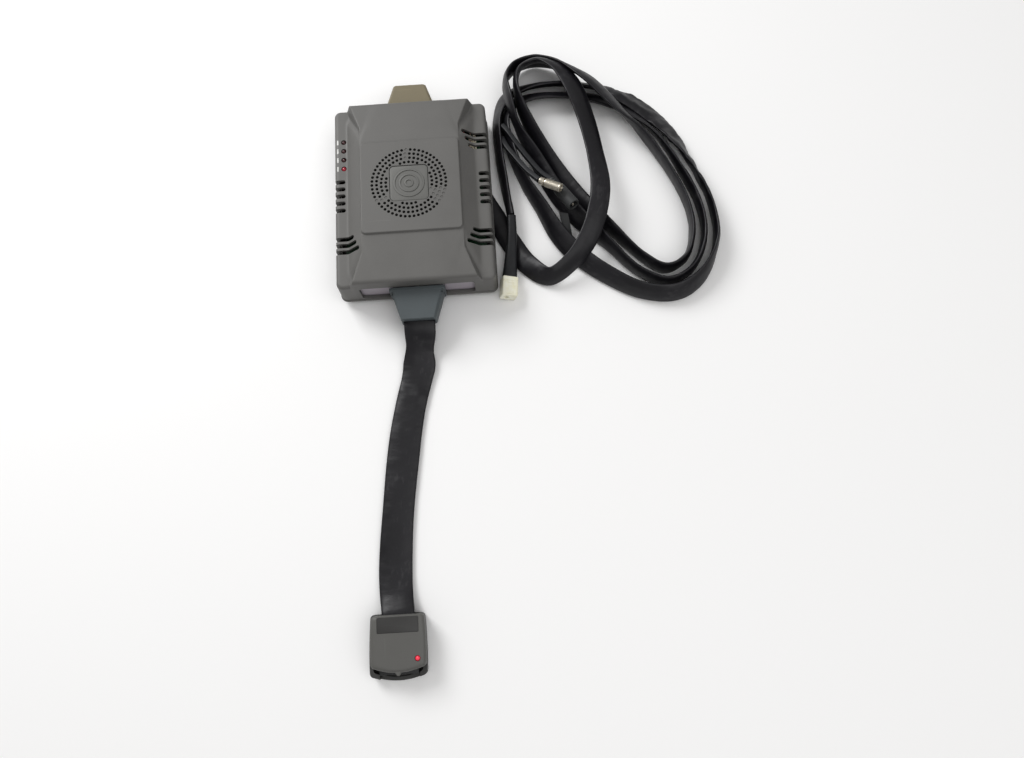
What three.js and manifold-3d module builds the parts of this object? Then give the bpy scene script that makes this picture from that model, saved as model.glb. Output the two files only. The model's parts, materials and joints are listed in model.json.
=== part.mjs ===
// A vented electronics interface box on four rubber feet, with a hooded D-shell plug at each end.
// The front plug carries a flat sleeved lead to a small pod; the rear plug carries a long flat
// sleeved harness that runs under the box, lies in loose loops beside it and ends in three leads.
// Millimetres. X is the width, Y the length (front is -Y), Z is up. The origin is on the table,
// under the middle of the box.
import * as THREE from "three";
import { ConvexGeometry } from "three/addons/geometries/ConvexGeometry.js";
import { mergeVertices } from "three/addons/utils/BufferGeometryUtils.js";
import Module from "manifold-3d";

const wasm = await Module();
wasm.setup();

// ---- driving dimensions ----
const BOX_WIDTH = 100;
const BOX_LENGTH = 126;
const FOOT_HEIGHT = 4;
const SPLIT_Z = 6; // where the two shells meet
const WING_Z = 25; // top of the flat side wings
const PLATEAU_Z = 35.5;
const PLATEAU_HALF = 31.6;
const RIDGE_IN_Z = 34; // bonnet ramp beside the plateau
const RIDGE_END_Z = 31.5; // bonnet ramp at the front and rear ends
const SLOPE_FOOT_X = 41; // where the side slope meets the wing
const FLARE_START_Y = 43; // where the bonnet starts to widen
const FLARE_HALF = 38.5; // half width of the bonnet at its ends
const CORNER_RADIUS = 4;
const WALL = 2;
const GAP = 0.3; // between pieces that touch
const SKIRT = 0.6; // how far the lower shell stands out past the upper one

const SLOT_WIDTH = 2.7;
const SLOT_PITCH = 4.4;
const TRIO_Y = 29.6; // first slot of each corner group of three
const MIDDLE_PITCH = 5;
const SLOT_FLOOR_Z = 14; // how far the slots run down the side wall

const GRILLE_RADIUS = 23.2;
const GRILLE_PITCH = 2.75; // between holes of the outer ring
const GRILLE_HOLE = 1.4;
const GRILLE_CENTRE = [-0.9, 1.4];
const BADGE_SIZE = 25;

const WINDOW_WIDTH = 72;
const WINDOW_LOW_Z = 7;
const WINDOW_HIGH_Z = 22.5;
const PLUG_Z = 14.5; // axis of both plugs

const BOARD_Z = 12;
const BOARD_THICK = 1.6;

const HOOD_BASE_HALF = 16.4;
const HOOD_END_HALF = 10.2;
const HOOD_LENGTHS = { front: 19, rear: 17 };
const HOOD_DROPS = { front: 1.6, rear: 0.3 }; // how far the top falls towards the mouth
const HOOD_HALF_THICK = 7.6;
const FLANGE_HALF = 17.4;
const D_WIDTH = 16.6;
const D_HEIGHT = 8.2;

const POD_LEAD_WIDTH = 19.4;
const POD_LEAD_THICK = 3;
const HARNESS_DIAMETER = 3.4; // the flat sleeve's thickness

// ---- materials ----
const plastic = (color, roughness = 0.6) =>
  new THREE.MeshStandardMaterial({ color, roughness, metalness: 0 });
const metal = (color, roughness = 0.35) =>
  new THREE.MeshStandardMaterial({ color, roughness, metalness: 1 });
const boxGrey = plastic(0x6e6e6c, 0.55);
const badgeGrey = plastic(0x6a6a68, 0.6);
const panelGrey = plastic(0x837f86, 0.45);
const hoodGrey = plastic(0x5f6466, 0.5);
const hoodTaupe = plastic(0x7c7462, 0.55);
const podGrey = plastic(0x666662, 0.5);
const blackPlastic = plastic(0x202122, 0.5);
const sleeveBlack = plastic(0x2c2b2f, 0.42);
const rubber = plastic(0x1b1b1b, 0.85);
const ivory = plastic(0xebebd6, 0.4);
const boardGreen = plastic(0x1e5a34, 0.45);
const redPlastic = plastic(0xa8222a, 0.4);
const ledRed = plastic(0xdc3c46, 0.25);
const ledDark = plastic(0x5a2323, 0.3);
const steel = metal(0xb8b8b8);
const nickel = metal(0xcfcbc2, 0.3);
const aluminium = metal(0x9a9c9f, 0.5);

// ---- solids: three.js geometry in, manifold-3d joins and cuts, geometry out ----
function solid(geometry) {
  const plain = geometry.index ? geometry.toNonIndexed() : geometry;
  const merged = mergeVertices(
    new THREE.BufferGeometry().setAttribute("position", plain.getAttribute("position")),
    1e-3,
  );
  return new wasm.Manifold(
    new wasm.Mesh({
      numProp: 3,
      vertProperties: merged.attributes.position.array,
      triVerts: new Uint32Array(merged.index.array),
    }),
  );
}

function geometryOf(manifold) {
  const { vertProperties, triVerts } = manifold.getMesh();
  const geometry = new THREE.BufferGeometry();
  geometry.setAttribute("position", new THREE.BufferAttribute(vertProperties, 3));
  geometry.setIndex(new THREE.BufferAttribute(triVerts, 1));
  return geometry;
}

const join = (...parts) => parts.reduce((a, b) => a.add(b));
const cut = (body, ...tools) => tools.reduce((a, b) => a.subtract(b), body);

function piece(name, shape, material, parent = object) {
  const geometry = shape.isBufferGeometry ? shape : geometryOf(shape);
  const mesh = new THREE.Mesh(geometry, material);
  mesh.name = name;
  parent.add(mesh);
  return mesh;
}

// A block between two opposite corners.
function block(x0, y0, z0, x1, y1, z1) {
  const geometry = new THREE.BoxGeometry(x1 - x0, y1 - y0, z1 - z0);
  return solid(geometry.translate((x0 + x1) / 2, (y0 + y1) / 2, (z0 + z1) / 2));
}

// A cylinder or cone standing on z0, or lying along Y from y0 when along is "y".
function rod(radius, length, x, y, z, { along = "z", sides = 16, tip = radius } = {}) {
  const geometry = new THREE.CylinderGeometry(tip, radius, length, sides);
  if (along === "z") geometry.rotateX(Math.PI / 2).translate(x, y, z + length / 2);
  else geometry.translate(x, y + length / 2, z);
  return solid(geometry);
}

function roundedRectangle(width, height, radius) {
  const w = width / 2;
  const h = height / 2;
  const shape = new THREE.Shape();
  shape.moveTo(-w + radius, -h);
  shape.lineTo(w - radius, -h);
  shape.absarc(w - radius, -h + radius, radius, -Math.PI / 2, 0);
  shape.lineTo(w, h - radius);
  shape.absarc(w - radius, h - radius, radius, 0, Math.PI / 2);
  shape.lineTo(-w + radius, h);
  shape.absarc(-w + radius, h - radius, radius, Math.PI / 2, Math.PI);
  shape.lineTo(-w, -h + radius);
  shape.absarc(-w + radius, -h + radius, radius, Math.PI, Math.PI * 1.5);
  return shape;
}

// A rounded rectangle extruded upwards from z0 to z1; bevel rounds its top and bottom rims.
function slab(width, length, radius, z0, z1, { bevel = 0, centre = [0, 0] } = {}) {
  const geometry = new THREE.ExtrudeGeometry(
    roundedRectangle(width - 2 * bevel, length - 2 * bevel, Math.max(radius - bevel, 0.3)),
    {
      depth: z1 - z0 - 2 * bevel,
      curveSegments: 3,
      bevelEnabled: bevel > 0,
      bevelThickness: bevel,
      bevelSize: bevel,
      bevelSegments: 1,
    },
  );
  return solid(geometry.translate(...centre, z0 + bevel));
}

// A rounded rectangle in XZ, extruded along Y from y0 to y1 and centred on x = 0.
function panelPrism(width, zLow, zHigh, radius, y0, y1) {
  const geometry = new THREE.ExtrudeGeometry(roundedRectangle(width, zHigh - zLow, radius), {
    depth: y1 - y0,
    curveSegments: 3,
    bevelEnabled: false,
  });
  return solid(geometry.rotateX(Math.PI / 2).translate(0, y1, (zLow + zHigh) / 2));
}

// The D outline of the plug shells, extruded along Y; grow widens it all round.
function dPrism(grow, y0, y1) {
  const h = D_HEIGHT / 2 + grow;
  const top = D_WIDTH / 2 + grow;
  const bottom = top - 1.4;
  const corners = [
    [-bottom, -h],
    [bottom, -h],
    [top, h],
    [-top, h],
  ];
  return hull(corners.flatMap(([x, z]) => [[x, y0, PLUG_Z + z], [x, y1, PLUG_Z + z]]));
}

function hull(points) {
  return solid(new ConvexGeometry(points.map((p) => new THREE.Vector3(...p))));
}

// Points mirrored left to right.
const bothSides = (points) => points.flatMap(([x, y, z]) => [[x, y, z], [-x, y, z]]);

const object = new THREE.Group();
const ends = [
  ["front", -1],
  ["rear", 1],
];

// ---- upper shell ----
// The outer form, or the cavity when inset is the wall: wings, side slopes, bonnets and plateau.
function shellForm(inset, zLow) {
  const halfLength = BOX_LENGTH / 2 - inset;
  const wing = slab(
    BOX_WIDTH - 2 * inset,
    BOX_LENGTH - 2 * inset,
    CORNER_RADIUS - inset / 2,
    zLow,
    WING_Z - inset,
    { bevel: inset ? 0 : 1.2 },
  );
  const ridge = hull(
    bothSides([
      [PLATEAU_HALF - inset / 2, 0, RIDGE_IN_Z - inset],
      [SLOPE_FOOT_X - inset / 2, 0, WING_Z - 1 - inset],
    ]).flatMap(([x, , z]) => [
      [x, -halfLength + 1.5, z > WING_Z ? RIDGE_END_Z - inset : z],
      [x, -PLATEAU_HALF, z],
      [x, PLATEAU_HALF, z],
      [x, halfLength - 1.5, z > WING_Z ? RIDGE_END_Z - inset : z],
    ]),
  );
  const bonnets = ends.map(([, side]) =>
    hull(
      bothSides([
        [PLATEAU_HALF - inset / 2, side * FLARE_START_Y, 33.2 - inset],
        [PLATEAU_HALF - inset / 2, side * FLARE_START_Y, WING_Z - 1 - inset],
        [FLARE_HALF - inset / 2, side * (halfLength - 1.5), RIDGE_END_Z - inset],
        [FLARE_HALF - inset / 2, side * halfLength, RIDGE_END_Z - 1.5 - inset],
        [SLOPE_FOOT_X - inset / 2, side * halfLength, WING_Z - 2 - inset],
      ]),
    ),
  );
  const plateau = slab(
    2 * PLATEAU_HALF - inset,
    2 * PLATEAU_HALF - inset,
    3,
    WING_Z - 2 - inset,
    PLATEAU_Z - inset,
    { bevel: inset ? 0 : 0.7 },
  );
  return join(wing, ridge, ...bonnets, plateau);
}

// One vent slot, cut through the wing from above and down the side wall.
const ventSlot = (side, innerX, y) => {
  const [x0, x1] = side > 0 ? [innerX, BOX_WIDTH] : [-BOX_WIDTH, -innerX];
  return block(x0, y - SLOT_WIDTH / 2, SLOT_FLOOR_Z, x1, y + SLOT_WIDTH / 2, PLATEAU_Z + 5);
};

function ventSlots() {
  const slots = [];
  for (const side of [-1, 1]) {
    for (let i = -2; i <= 2; i++)
      slots.push(ventSlot(side, SLOPE_FOOT_X + 1.8, 0.5 + i * MIDDLE_PITCH));
    for (let i = 0; i < 3; i++) {
      const innerX = 37.2 - 1.9 * i;
      const y = TRIO_Y + SLOT_PITCH * i;
      slots.push(ventSlot(side, innerX, -y));
      if (side > 0) slots.push(ventSlot(side, innerX, y));
    }
  }
  return slots;
}

// Every third hole of the outer ring round the badge, as hexagonal bores.
function grilleHoles() {
  const count = Math.round((2 * Math.PI * GRILLE_RADIUS) / GRILLE_PITCH);
  const holes = [];
  for (let i = 0; i < count; i += 3) {
    const angle = (i * 2 * Math.PI) / count;
    const x = GRILLE_CENTRE[0] + GRILLE_RADIUS * Math.cos(angle);
    const y = GRILLE_CENTRE[1] + GRILLE_RADIUS * Math.sin(angle);
    holes.push(rod(GRILLE_HOLE / 2, 8, x, y, PLATEAU_Z - 5, { sides: 6 }));
  }
  return holes;
}

const LED_X = -43.6;
const LED_Y = [20, 26.4, 32.8, 39.2];
const CASE_SCREWS = [-1, 1].flatMap((sx) => [-1, 1].map((sy) => [sx * 43, sy * 56]));

function topShell() {
  const windows = ends.map(([, side]) =>
    panelPrism(
      WINDOW_WIDTH,
      WINDOW_LOW_Z,
      WINDOW_HIGH_Z,
      2.5,
      side < 0 ? -BOX_LENGTH / 2 - 2 : BOX_LENGTH / 2 - WALL - 2,
      side < 0 ? -BOX_LENGTH / 2 + WALL + 2 : BOX_LENGTH / 2 + 2,
    ),
  );
  const bosses = CASE_SCREWS.map(([x, y]) => rod(3, WING_Z - WALL + 1 - 12, x, y, 12, { sides: 12 }));
  const pilots = CASE_SCREWS.map(([x, y]) => rod(1.5, 9, x, y, 11.5, { sides: 8 }));
  const recess = slab(BADGE_SIZE, BADGE_SIZE, 3, PLATEAU_Z - 1.4, PLATEAU_Z + 1, {
    centre: GRILLE_CENTRE,
  });
  const leds = LED_Y.map((y) => rod(1.7, 8, LED_X, y, WING_Z - 5, { sides: 10 }));
  const outer = shellForm(0, SPLIT_Z + GAP);
  const cavity = shellForm(WALL, SPLIT_Z - 1);
  return cut(
    join(cut(outer, cavity), ...bosses),
    ...pilots,
    ...windows,
    ...ventSlots(),
    ...grilleHoles(),
    recess,
    ...leds,
  );
}

// ---- lower shell: a shallow tray with board posts, screw bosses and sockets for the feet ----
const FOOT_PLACES = [-1, 1].flatMap((sx) => [-1, 1].map((sy) => [sx * 41, sy * 47]));
const FOOT_RADIUS = 5.5;
const BOARD_SCREWS = [-1, 1].flatMap((sx) => [-1, 1].map((sy) => [sx * 33, sy * 50]));

function bottomShell() {
  const tray = cut(
    slab(BOX_WIDTH + 2 * SKIRT, BOX_LENGTH + 2 * SKIRT, CORNER_RADIUS, FOOT_HEIGHT, SPLIT_Z, {
      bevel: 0.8,
    }),
    slab(BOX_WIDTH - 2 * WALL, BOX_LENGTH - 2 * WALL, 3, FOOT_HEIGHT + 1.6, SPLIT_Z + 1),
  );
  const posts = BOARD_SCREWS.map(([x, y]) => rod(3, BOARD_Z - GAP - 5, x, y, 5, { sides: 12 }));
  const bosses = CASE_SCREWS.map(([x, y]) => rod(3.4, 11.7 - 5, x, y, 5, { sides: 12 }));
  const bores = CASE_SCREWS.map(([x, y]) => rod(1.9, 10, x, y, 3, { sides: 10 }));
  const heads = CASE_SCREWS.map(([x, y]) => rod(3, 2.2, x, y, 3, { sides: 12 }));
  const footSockets = FOOT_PLACES.map(([x, y]) => rod(FOOT_RADIUS + GAP, 1, x, y, 3.6));
  const pilots = BOARD_SCREWS.map(([x, y]) => rod(1.1, 5, x, y, BOARD_Z - 5, { sides: 8 }));
  return cut(join(tray, ...posts, ...bosses), ...bores, ...heads, ...footSockets, ...pilots);
}

// ---- badge: a plain square plate with a raised set of rings ----
function badge() {
  const plate = slab(BADGE_SIZE - 0.6, BADGE_SIZE - 0.6, 2.7, PLATEAU_Z - 1.1, PLATEAU_Z - 0.3, {
    centre: GRILLE_CENTRE,
  });
  const rings = [3, 6.4, 9.8].map((radius) =>
    cut(
      rod(radius, 0.9, ...GRILLE_CENTRE, PLATEAU_Z - 0.8, { sides: 24 }),
      rod(radius - 1.1, 2, ...GRILLE_CENTRE, PLATEAU_Z - 0.29, { sides: 24 }),
    ),
  );
  return join(plate, ...rings);
}

// ---- end panels, sockets ----
const PANEL_THICK = 1.2;

function endPanel(side) {
  const face = side * (BOX_LENGTH / 2 - WALL - GAP);
  const back = face - side * PANEL_THICK;
  const [y0, y1] = [Math.min(face, back), Math.max(face, back)];
  const plate = panelPrism(WINDOW_WIDTH + 4, SPLIT_Z + 0.6, WING_Z - WALL - GAP, 1, y0, y1);
  return cut(plate, panelPrism(20.4, PLUG_Z - 6, PLUG_Z + 6, 1, y0 - 1, y1 + 1));
}

function socket(side) {
  const out = BOX_LENGTH / 2 - 1.4;
  const back = BOX_LENGTH / 2 - 12;
  const ordered = (a, b) => [Math.min(side * a, side * b), Math.max(side * a, side * b)];
  const body = panelPrism(19.6, PLUG_Z - 5.6, PLUG_Z + 5.6, 0.8, ...ordered(back, out));
  const flange = panelPrism(30, PLUG_Z - 6, PLUG_Z + 7, 1, ...ordered(out - 4.4, out - 3.3));
  return cut(join(body, flange), dPrism(0.35, ...ordered(out - 8, out + 1)));
}

// ---- electronics ----
function mainBoard() {
  const board = slab(90, 117, 2, BOARD_Z, BOARD_Z + BOARD_THICK);
  const notches = CASE_SCREWS.map(([x, y]) => rod(4, 4, x, y, BOARD_Z - 1, { sides: 12 }));
  const holes = BOARD_SCREWS.map(([x, y]) => rod(1.4, 4, x, y, BOARD_Z - 1, { sides: 8 }));
  const socketCuts = [-55, 55].map((y) => block(-15.4, y - 8, 11, 15.4, y + 8, 15));
  return cut(board, ...notches, ...holes, ...socketCuts);
}

const ON_BOARD = BOARD_Z + BOARD_THICK + GAP;

function heatSink() {
  const base = block(-14, -14, ON_BOARD + 3.6, 14, 14, ON_BOARD + 5.6);
  const fins = [];
  for (let i = 0; i < 7; i++) {
    const x = -13.3 + i * 4.43;
    fins.push(block(x - 0.6, -14, ON_BOARD + 5, x + 0.6, 14, ON_BOARD + 13));
  }
  return join(base, ...fins);
}

function pinHeader() {
  const body = block(37.6, 26, ON_BOARD, 42.4, 44, ON_BOARD + 2.5);
  const pins = [];
  for (let i = 0; i < 7; i++)
    for (const x of [38.8, 41.2]) {
      const y = 27.4 + i * 2.54;
      pins.push(block(x - 0.35, y - 0.35, ON_BOARD + 2, x + 0.35, y + 0.35, ON_BOARD + 8));
    }
  return join(body, ...pins);
}

function screw(headRadius, shankRadius, length, x, y, z, up) {
  const head = rod(headRadius, 1.6, x, y, up ? z : z - 1.6, { sides: 12 });
  const shank = rod(shankRadius, length, x, y, up ? z - length + 0.2 : z - 0.2, { sides: 8 });
  const slotZ = up ? z + 1.1 : z - 2.1;
  return cut(join(head, shank), block(x - 3, y - 0.3, slotZ, x + 3, y + 0.3, slotZ + 1));
}

piece("top_shell", topShell(), boxGrey);
piece("bottom_shell", bottomShell(), boxGrey);
piece("grille_badge", badge(), badgeGrey);
for (const [end, side] of ends) {
  piece(end + "_panel", endPanel(side), panelGrey);
  piece(end + "_socket", socket(side), steel);
}
piece("main_board", mainBoard(), boardGreen);
piece("processor_chip", slab(28, 28, 1, ON_BOARD, ON_BOARD + 3.3), blackPlastic);
piece("heat_sink", heatSink(), aluminium);
piece("memory_chip", block(-34, -12, ON_BOARD, -22, 12, ON_BOARD + 2.5), blackPlastic);
piece("front_capacitor", rod(5, 12, 24, -34, ON_BOARD, { sides: 20 }), blackPlastic);
piece("rear_capacitor", rod(5, 12, -24, 34, ON_BOARD, { sides: 20 }), blackPlastic);
piece("red_capacitor", block(31.5, 31, ON_BOARD, 35.5, 42, ON_BOARD + 11), redPlastic);
piece("pin_header", pinHeader(), ivory);
piece("crystal_can", slab(11, 4.6, 2, ON_BOARD, ON_BOARD + 3.5, { centre: [26, -14] }), nickel);
LED_Y.forEach((y, i) =>
  piece(
    "status_led_" + (i + 1),
    join(
      rod(1.4, 1.8, LED_X, y, WING_Z - 1.4, { sides: 12, tip: 1.1 }),
      rod(1.4, WING_Z - 1.4 - ON_BOARD + 0.1, LED_X, y, ON_BOARD, { sides: 12 }),
    ),
    i ? ledDark : ledRed,
  ),
);
CASE_SCREWS.forEach(([x, y], i) =>
  piece("case_screw_" + (i + 1), screw(2.7, 1.2, 13, x, y, 5, false), steel),
);
BOARD_SCREWS.forEach(([x, y], i) =>
  piece("board_screw_" + (i + 1), screw(2.6, 0.9, 5, x, y, ON_BOARD, true), steel),
);
FOOT_PLACES.forEach(([x, y], i) =>
  piece("foot_" + (i + 1), rod(FOOT_RADIUS, FOOT_HEIGHT + 0.3, x, y, 0, { sides: 16 }), rubber),
);

// ---- hooded plugs, the same at both ends ----
// The plug is built facing the front; side turns it about Z for the rear.
const HOOD_BASE_Y = -BOX_LENGTH / 2 - 1.8;

function hoodForm(endY, inset, drop) {
  const baseZ = HOOD_HALF_THICK - inset;
  const endZ = HOOD_HALF_THICK - drop - inset;
  return hull(
    bothSides([
      [HOOD_BASE_HALF - inset, HOOD_BASE_Y, PLUG_Z + baseZ - 1.2],
      [HOOD_BASE_HALF - inset, HOOD_BASE_Y, PLUG_Z - baseZ + 1.2],
      [HOOD_BASE_HALF - inset - 1.2, HOOD_BASE_Y, PLUG_Z + baseZ],
      [HOOD_BASE_HALF - inset - 1.2, HOOD_BASE_Y, PLUG_Z - baseZ],
      [HOOD_END_HALF + 0.6 - inset, endY + inset, PLUG_Z + endZ - 1.2],
      [HOOD_END_HALF + 0.6 - inset, endY + inset, PLUG_Z - endZ + 1.2],
      [HOOD_END_HALF - 0.6 - inset, endY + inset, PLUG_Z + endZ],
      [HOOD_END_HALF - 0.6 - inset, endY + inset, PLUG_Z - endZ],
    ]),
  );
}

function hoodHalf(endY, drop, upper) {
  const flange = panelPrism(
    2 * FLANGE_HALF,
    PLUG_Z - HOOD_HALF_THICK - 0.2,
    PLUG_Z + HOOD_HALF_THICK + 0.2,
    1.5,
    HOOD_BASE_Y - 0.5,
    HOOD_BASE_Y + 2,
  );
  const mouth = dPrism(0.6, HOOD_BASE_Y - 1, HOOD_BASE_Y + 3);
  const [pocketIn, pocketOut] = [HOOD_BASE_Y - 2.6, HOOD_BASE_Y - 0.8];
  const pocket = block(-15.6, pocketIn, PLUG_Z - 6.4, 15.6, pocketOut, PLUG_Z + 6.4);
  const lead = block(-10.1, endY - 1, PLUG_Z - 1.9, 10.1, endY + 4, PLUG_Z + 1.9);
  const whole = cut(
    join(hoodForm(endY, 0, drop), flange),
    hoodForm(endY, 1.6, drop),
    mouth,
    pocket,
    lead,
  );
  const half = upper
    ? block(-30, endY - 5, PLUG_Z + GAP / 2, 30, HOOD_BASE_Y + 5, 40)
    : block(-30, endY - 5, -10, 30, HOOD_BASE_Y + 5, PLUG_Z - GAP / 2);
  return whole.intersect(half);
}

function plugShell() {
  const plate = block(-15, HOOD_BASE_Y - 2.3, PLUG_Z - 6, 15, HOOD_BASE_Y - 1.2, PLUG_Z + 6);
  const nose = dPrism(0, HOOD_BASE_Y - 1.5, HOOD_BASE_Y + 8.2);
  const mouth = dPrism(-0.7, HOOD_BASE_Y + 3.2, HOOD_BASE_Y + 9);
  return join(plate, cut(nose, mouth));
}

const frontPlug = new THREE.Group();
const rearPlug = new THREE.Group();
rearPlug.rotation.z = Math.PI;
object.add(frontPlug, rearPlug);
for (const [end, group, material] of [
  ["front", frontPlug, hoodGrey],
  ["rear", rearPlug, hoodTaupe],
]) {
  const endY = HOOD_BASE_Y - HOOD_LENGTHS[end];
  piece(end + "_plug_shell", plugShell(), nickel, group);
  piece(end + "_hood_top", hoodHalf(endY, HOOD_DROPS[end], true), material, group);
  piece(end + "_hood_bottom", hoodHalf(endY, HOOD_DROPS[end], false), material, group);
}

// ---- leads ----
// A closed sweep of an outline along a smooth curve through the points.
function sweep(points, outline, steps) {
  const path = new THREE.CatmullRomCurve3(points.map((p) => new THREE.Vector3(...p)));
  return new THREE.ExtrudeGeometry(outline, { steps, extrudePath: path, bevelEnabled: false });
}

function circle(diameter, sides) {
  const shape = new THREE.Shape();
  for (let i = 0; i < sides; i++) {
    const angle = ((i + 0.5) * 2 * Math.PI) / sides;
    const [x, y] = [(diameter / 2) * Math.cos(angle), (diameter / 2) * Math.sin(angle)];
    if (i) shape.lineTo(x, y);
    else shape.moveTo(x, y);
  }
  return shape;
}

// The flat sleeve of the pod lead: out of the front hood, down to the table and along to the pod.
const POD_LEAD_ROUTE = [
  [0, HOOD_BASE_Y - HOOD_LENGTHS.front + 2.5, PLUG_Z],
  [0, -88, 13.2],
  [-0.6, -94, 9],
  [-1.6, -101, 5.2],
  [-2.4, -109, 2.9],
  [-4.4, -118, 2.4],
  [-8, -131, 2.3],
  [-11.8, -149, 2.3],
  [-14.7, -168, 2.3],
  [-17.7, -192, 2.3],
  [-20, -216, 2.3],
  [-21, -236, 2.5],
  [-20.6, -247, 4],
  [-19.7, -255.6, 6.6],
  [-19.5, -259.2, 7],
];
function flatOutline(width, thick) {
  const w = width / 2;
  const t = thick / 2;
  const corner = 0.9;
  const shape = new THREE.Shape();
  [
    [w, -t + corner],
    [w, t - corner],
    [w - corner, t],
    [-w + corner, t],
    [-w, t - corner],
    [-w, -t + corner],
    [-w + corner, -t],
    [w - corner, -t],
  ].forEach(([x, y], i) => (i ? shape.lineTo(x, y) : shape.moveTo(x, y)));
  return shape;
}
const podLeadOutline = flatOutline(POD_LEAD_WIDTH, POD_LEAD_THICK);
piece("pod_lead_sleeve", sweep(POD_LEAD_ROUTE, podLeadOutline, 40), sleeveBlack);

// ---- pod: two shells round a small board with a header socket at its nose ----
const pod = new THREE.Group();
pod.position.set(-19.1, -257.8, 0);
pod.rotation.z = THREE.MathUtils.degToRad(-0.5);
object.add(pod);

const POD_SPLIT_Z = 7.6;
const POD_TOP_Z = 15;
const POD_HALF_REAR = 15.2;
const POD_HALF_FRONT = 15.8;
const POD_LENGTH = 28.4; // upper shell, to its front corners
const POD_BASE_LENGTH = 33; // lower shell, whose nose stands out in front
const POD_BASE_SHIFT = -0.9; // the lower shell sits a little to the left
const POD_NOSE_Y = -30;

// The pod's outline with its bowed nose; nose is how far the bow stands out.
function podOutline(inset, nose, length) {
  const shape = new THREE.Shape();
  const [r, f, l] = [POD_HALF_REAR - inset, POD_HALF_FRONT - inset, length - inset];
  const c = 2.5;
  shape.moveTo(-r + c, -inset);
  shape.quadraticCurveTo(-r, -inset, -r, -inset - c);
  shape.lineTo(-f, -l + c);
  shape.quadraticCurveTo(-f, -l, -f + c, -l - 0.4);
  shape.quadraticCurveTo(0, -l - nose, f - c, -l - 0.4);
  shape.quadraticCurveTo(f, -l, f, -l + c);
  shape.lineTo(r, -inset - c);
  shape.quadraticCurveTo(r, -inset, r - c, -inset);
  return shape;
}

function podPrism(inset, nose, z0, z1, { bevel = 0, length = POD_LENGTH, shift = 0 } = {}) {
  const geometry = new THREE.ExtrudeGeometry(podOutline(inset + bevel, nose, length), {
    depth: z1 - z0 - 2 * bevel,
    curveSegments: 4,
    bevelEnabled: bevel > 0,
    bevelThickness: bevel,
    bevelSize: bevel,
    bevelSegments: 2,
  });
  return solid(geometry.translate(shift, 0, z0 + bevel));
}

const LED_POD = [11.1, -23.8];
const LABEL_CENTRE = [0.2, -5.3];
const POD_SCREWS = [
  [-10.5, -7],
  [10.5, -7],
];

function podTop() {
  const upperHalf = block(-30, -60, POD_SPLIT_Z + GAP, 30, 10, 30);
  const outer = podPrism(0, 5, 0, POD_TOP_Z, { bevel: 1.6 }).intersect(upperHalf);
  const cavity = podPrism(1.6, 5, 2, POD_TOP_Z - 1.6);
  const mouth = block(-10.9, -4, POD_SPLIT_Z - 4, 10.9, 3, 9.8);
  const nose = block(-11.4, -60, POD_SPLIT_Z - 2, 11.4, POD_NOSE_Y + 3.4, 11.4);
  const led = rod(1.7, 6, ...LED_POD, POD_TOP_Z - 4, { sides: 12 });
  const label = slab(23, 9.2, 0.6, POD_TOP_Z - 0.7, POD_TOP_Z + 1, { centre: LABEL_CENTRE });
  return cut(outer, cavity, mouth, nose, led, label);
}

function podBottom() {
  const lowerHalf = block(-30, -60, 0, 30, 10, POD_SPLIT_Z);
  const base = { length: POD_BASE_LENGTH, shift: POD_BASE_SHIFT };
  const outer = podPrism(-0.4, 5, 0, POD_TOP_Z, { bevel: 1.6, ...base }).intersect(lowerHalf);
  const cavity = podPrism(1.6, 5, 1.6, POD_TOP_Z, base);
  const mouth = block(-10.9, -4, 3.6, 10.9, 3, 12);
  const nose = block(-11.4, -60, 3, 11.4, POD_NOSE_Y + 2, 12);
  const posts = POD_SCREWS.map(([x, y]) => rod(3.2, 4.6, x, y, 1, { sides: 12 }));
  const bores = POD_SCREWS.map(([x, y]) => rod(1.1, 10, x, y, -1, { sides: 8 }));
  const heads = POD_SCREWS.map(([x, y]) => rod(2.3, 3.3, x, y, -1, { sides: 12 }));
  return cut(join(cut(outer, cavity, mouth, nose), ...posts), ...bores, ...heads);
}

function podSocket() {
  const body = block(-11, POD_NOSE_Y - 2.2, 3.4, 11, POD_NOSE_Y + 4, 11);
  const pins = [];
  for (let i = 0; i < 7; i++)
    for (const z of [5.9, 8.5]) {
      const x = (i - 3) * 2.54;
      pins.push(block(x - 0.5, POD_NOSE_Y - 4, z - 0.5, x + 0.5, POD_NOSE_Y + 2, z + 0.5));
    }
  return cut(body, ...pins);
}

piece("pod_top_shell", podTop(), podGrey, pod);
piece("pod_bottom_shell", podBottom(), podGrey, pod);
piece("pod_board", block(-12.2, POD_NOSE_Y + 4 + GAP, 5.9, 12.2, -4.5, 7.2), boardGreen, pod);
piece("pod_socket", podSocket(), blackPlastic, pod);
piece(
  "pod_label",
  slab(22.4, 8.6, 0.5, POD_TOP_Z - 0.4, POD_TOP_Z, { centre: LABEL_CENTRE }),
  blackPlastic,
  pod,
);
piece(
  "pod_led",
  join(
    rod(1.4, POD_TOP_Z - 7.5, ...LED_POD, 7.5, { sides: 12 }),
    rod(1.4, 0.9, ...LED_POD, POD_TOP_Z - 0.1, { sides: 12, tip: 0.8 }),
  ),
  ledRed,
  pod,
);
POD_SCREWS.forEach(([x, y], i) =>
  piece("pod_screw_" + (i + 1), screw(2, 0.8, 3.6, x, y, 2, false), steel, pod),
);

// ---- harness: the long flat sleeve, as a tube of the sleeve's thickness on its centre line ----
// Out of the rear hood it folds back on itself and under the box.
const HARNESS_FOLD = [
  [0, 79.2, 14.5],
  [0, 83.8, 14.1],
  [0.2, 86.6, 11.6],
  [0.5, 87.7, 8.2],
  [1, 87.4, 5],
  [2, 85.9, 2.7],
  [3.1, 83.6, 1.9],
];
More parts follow.
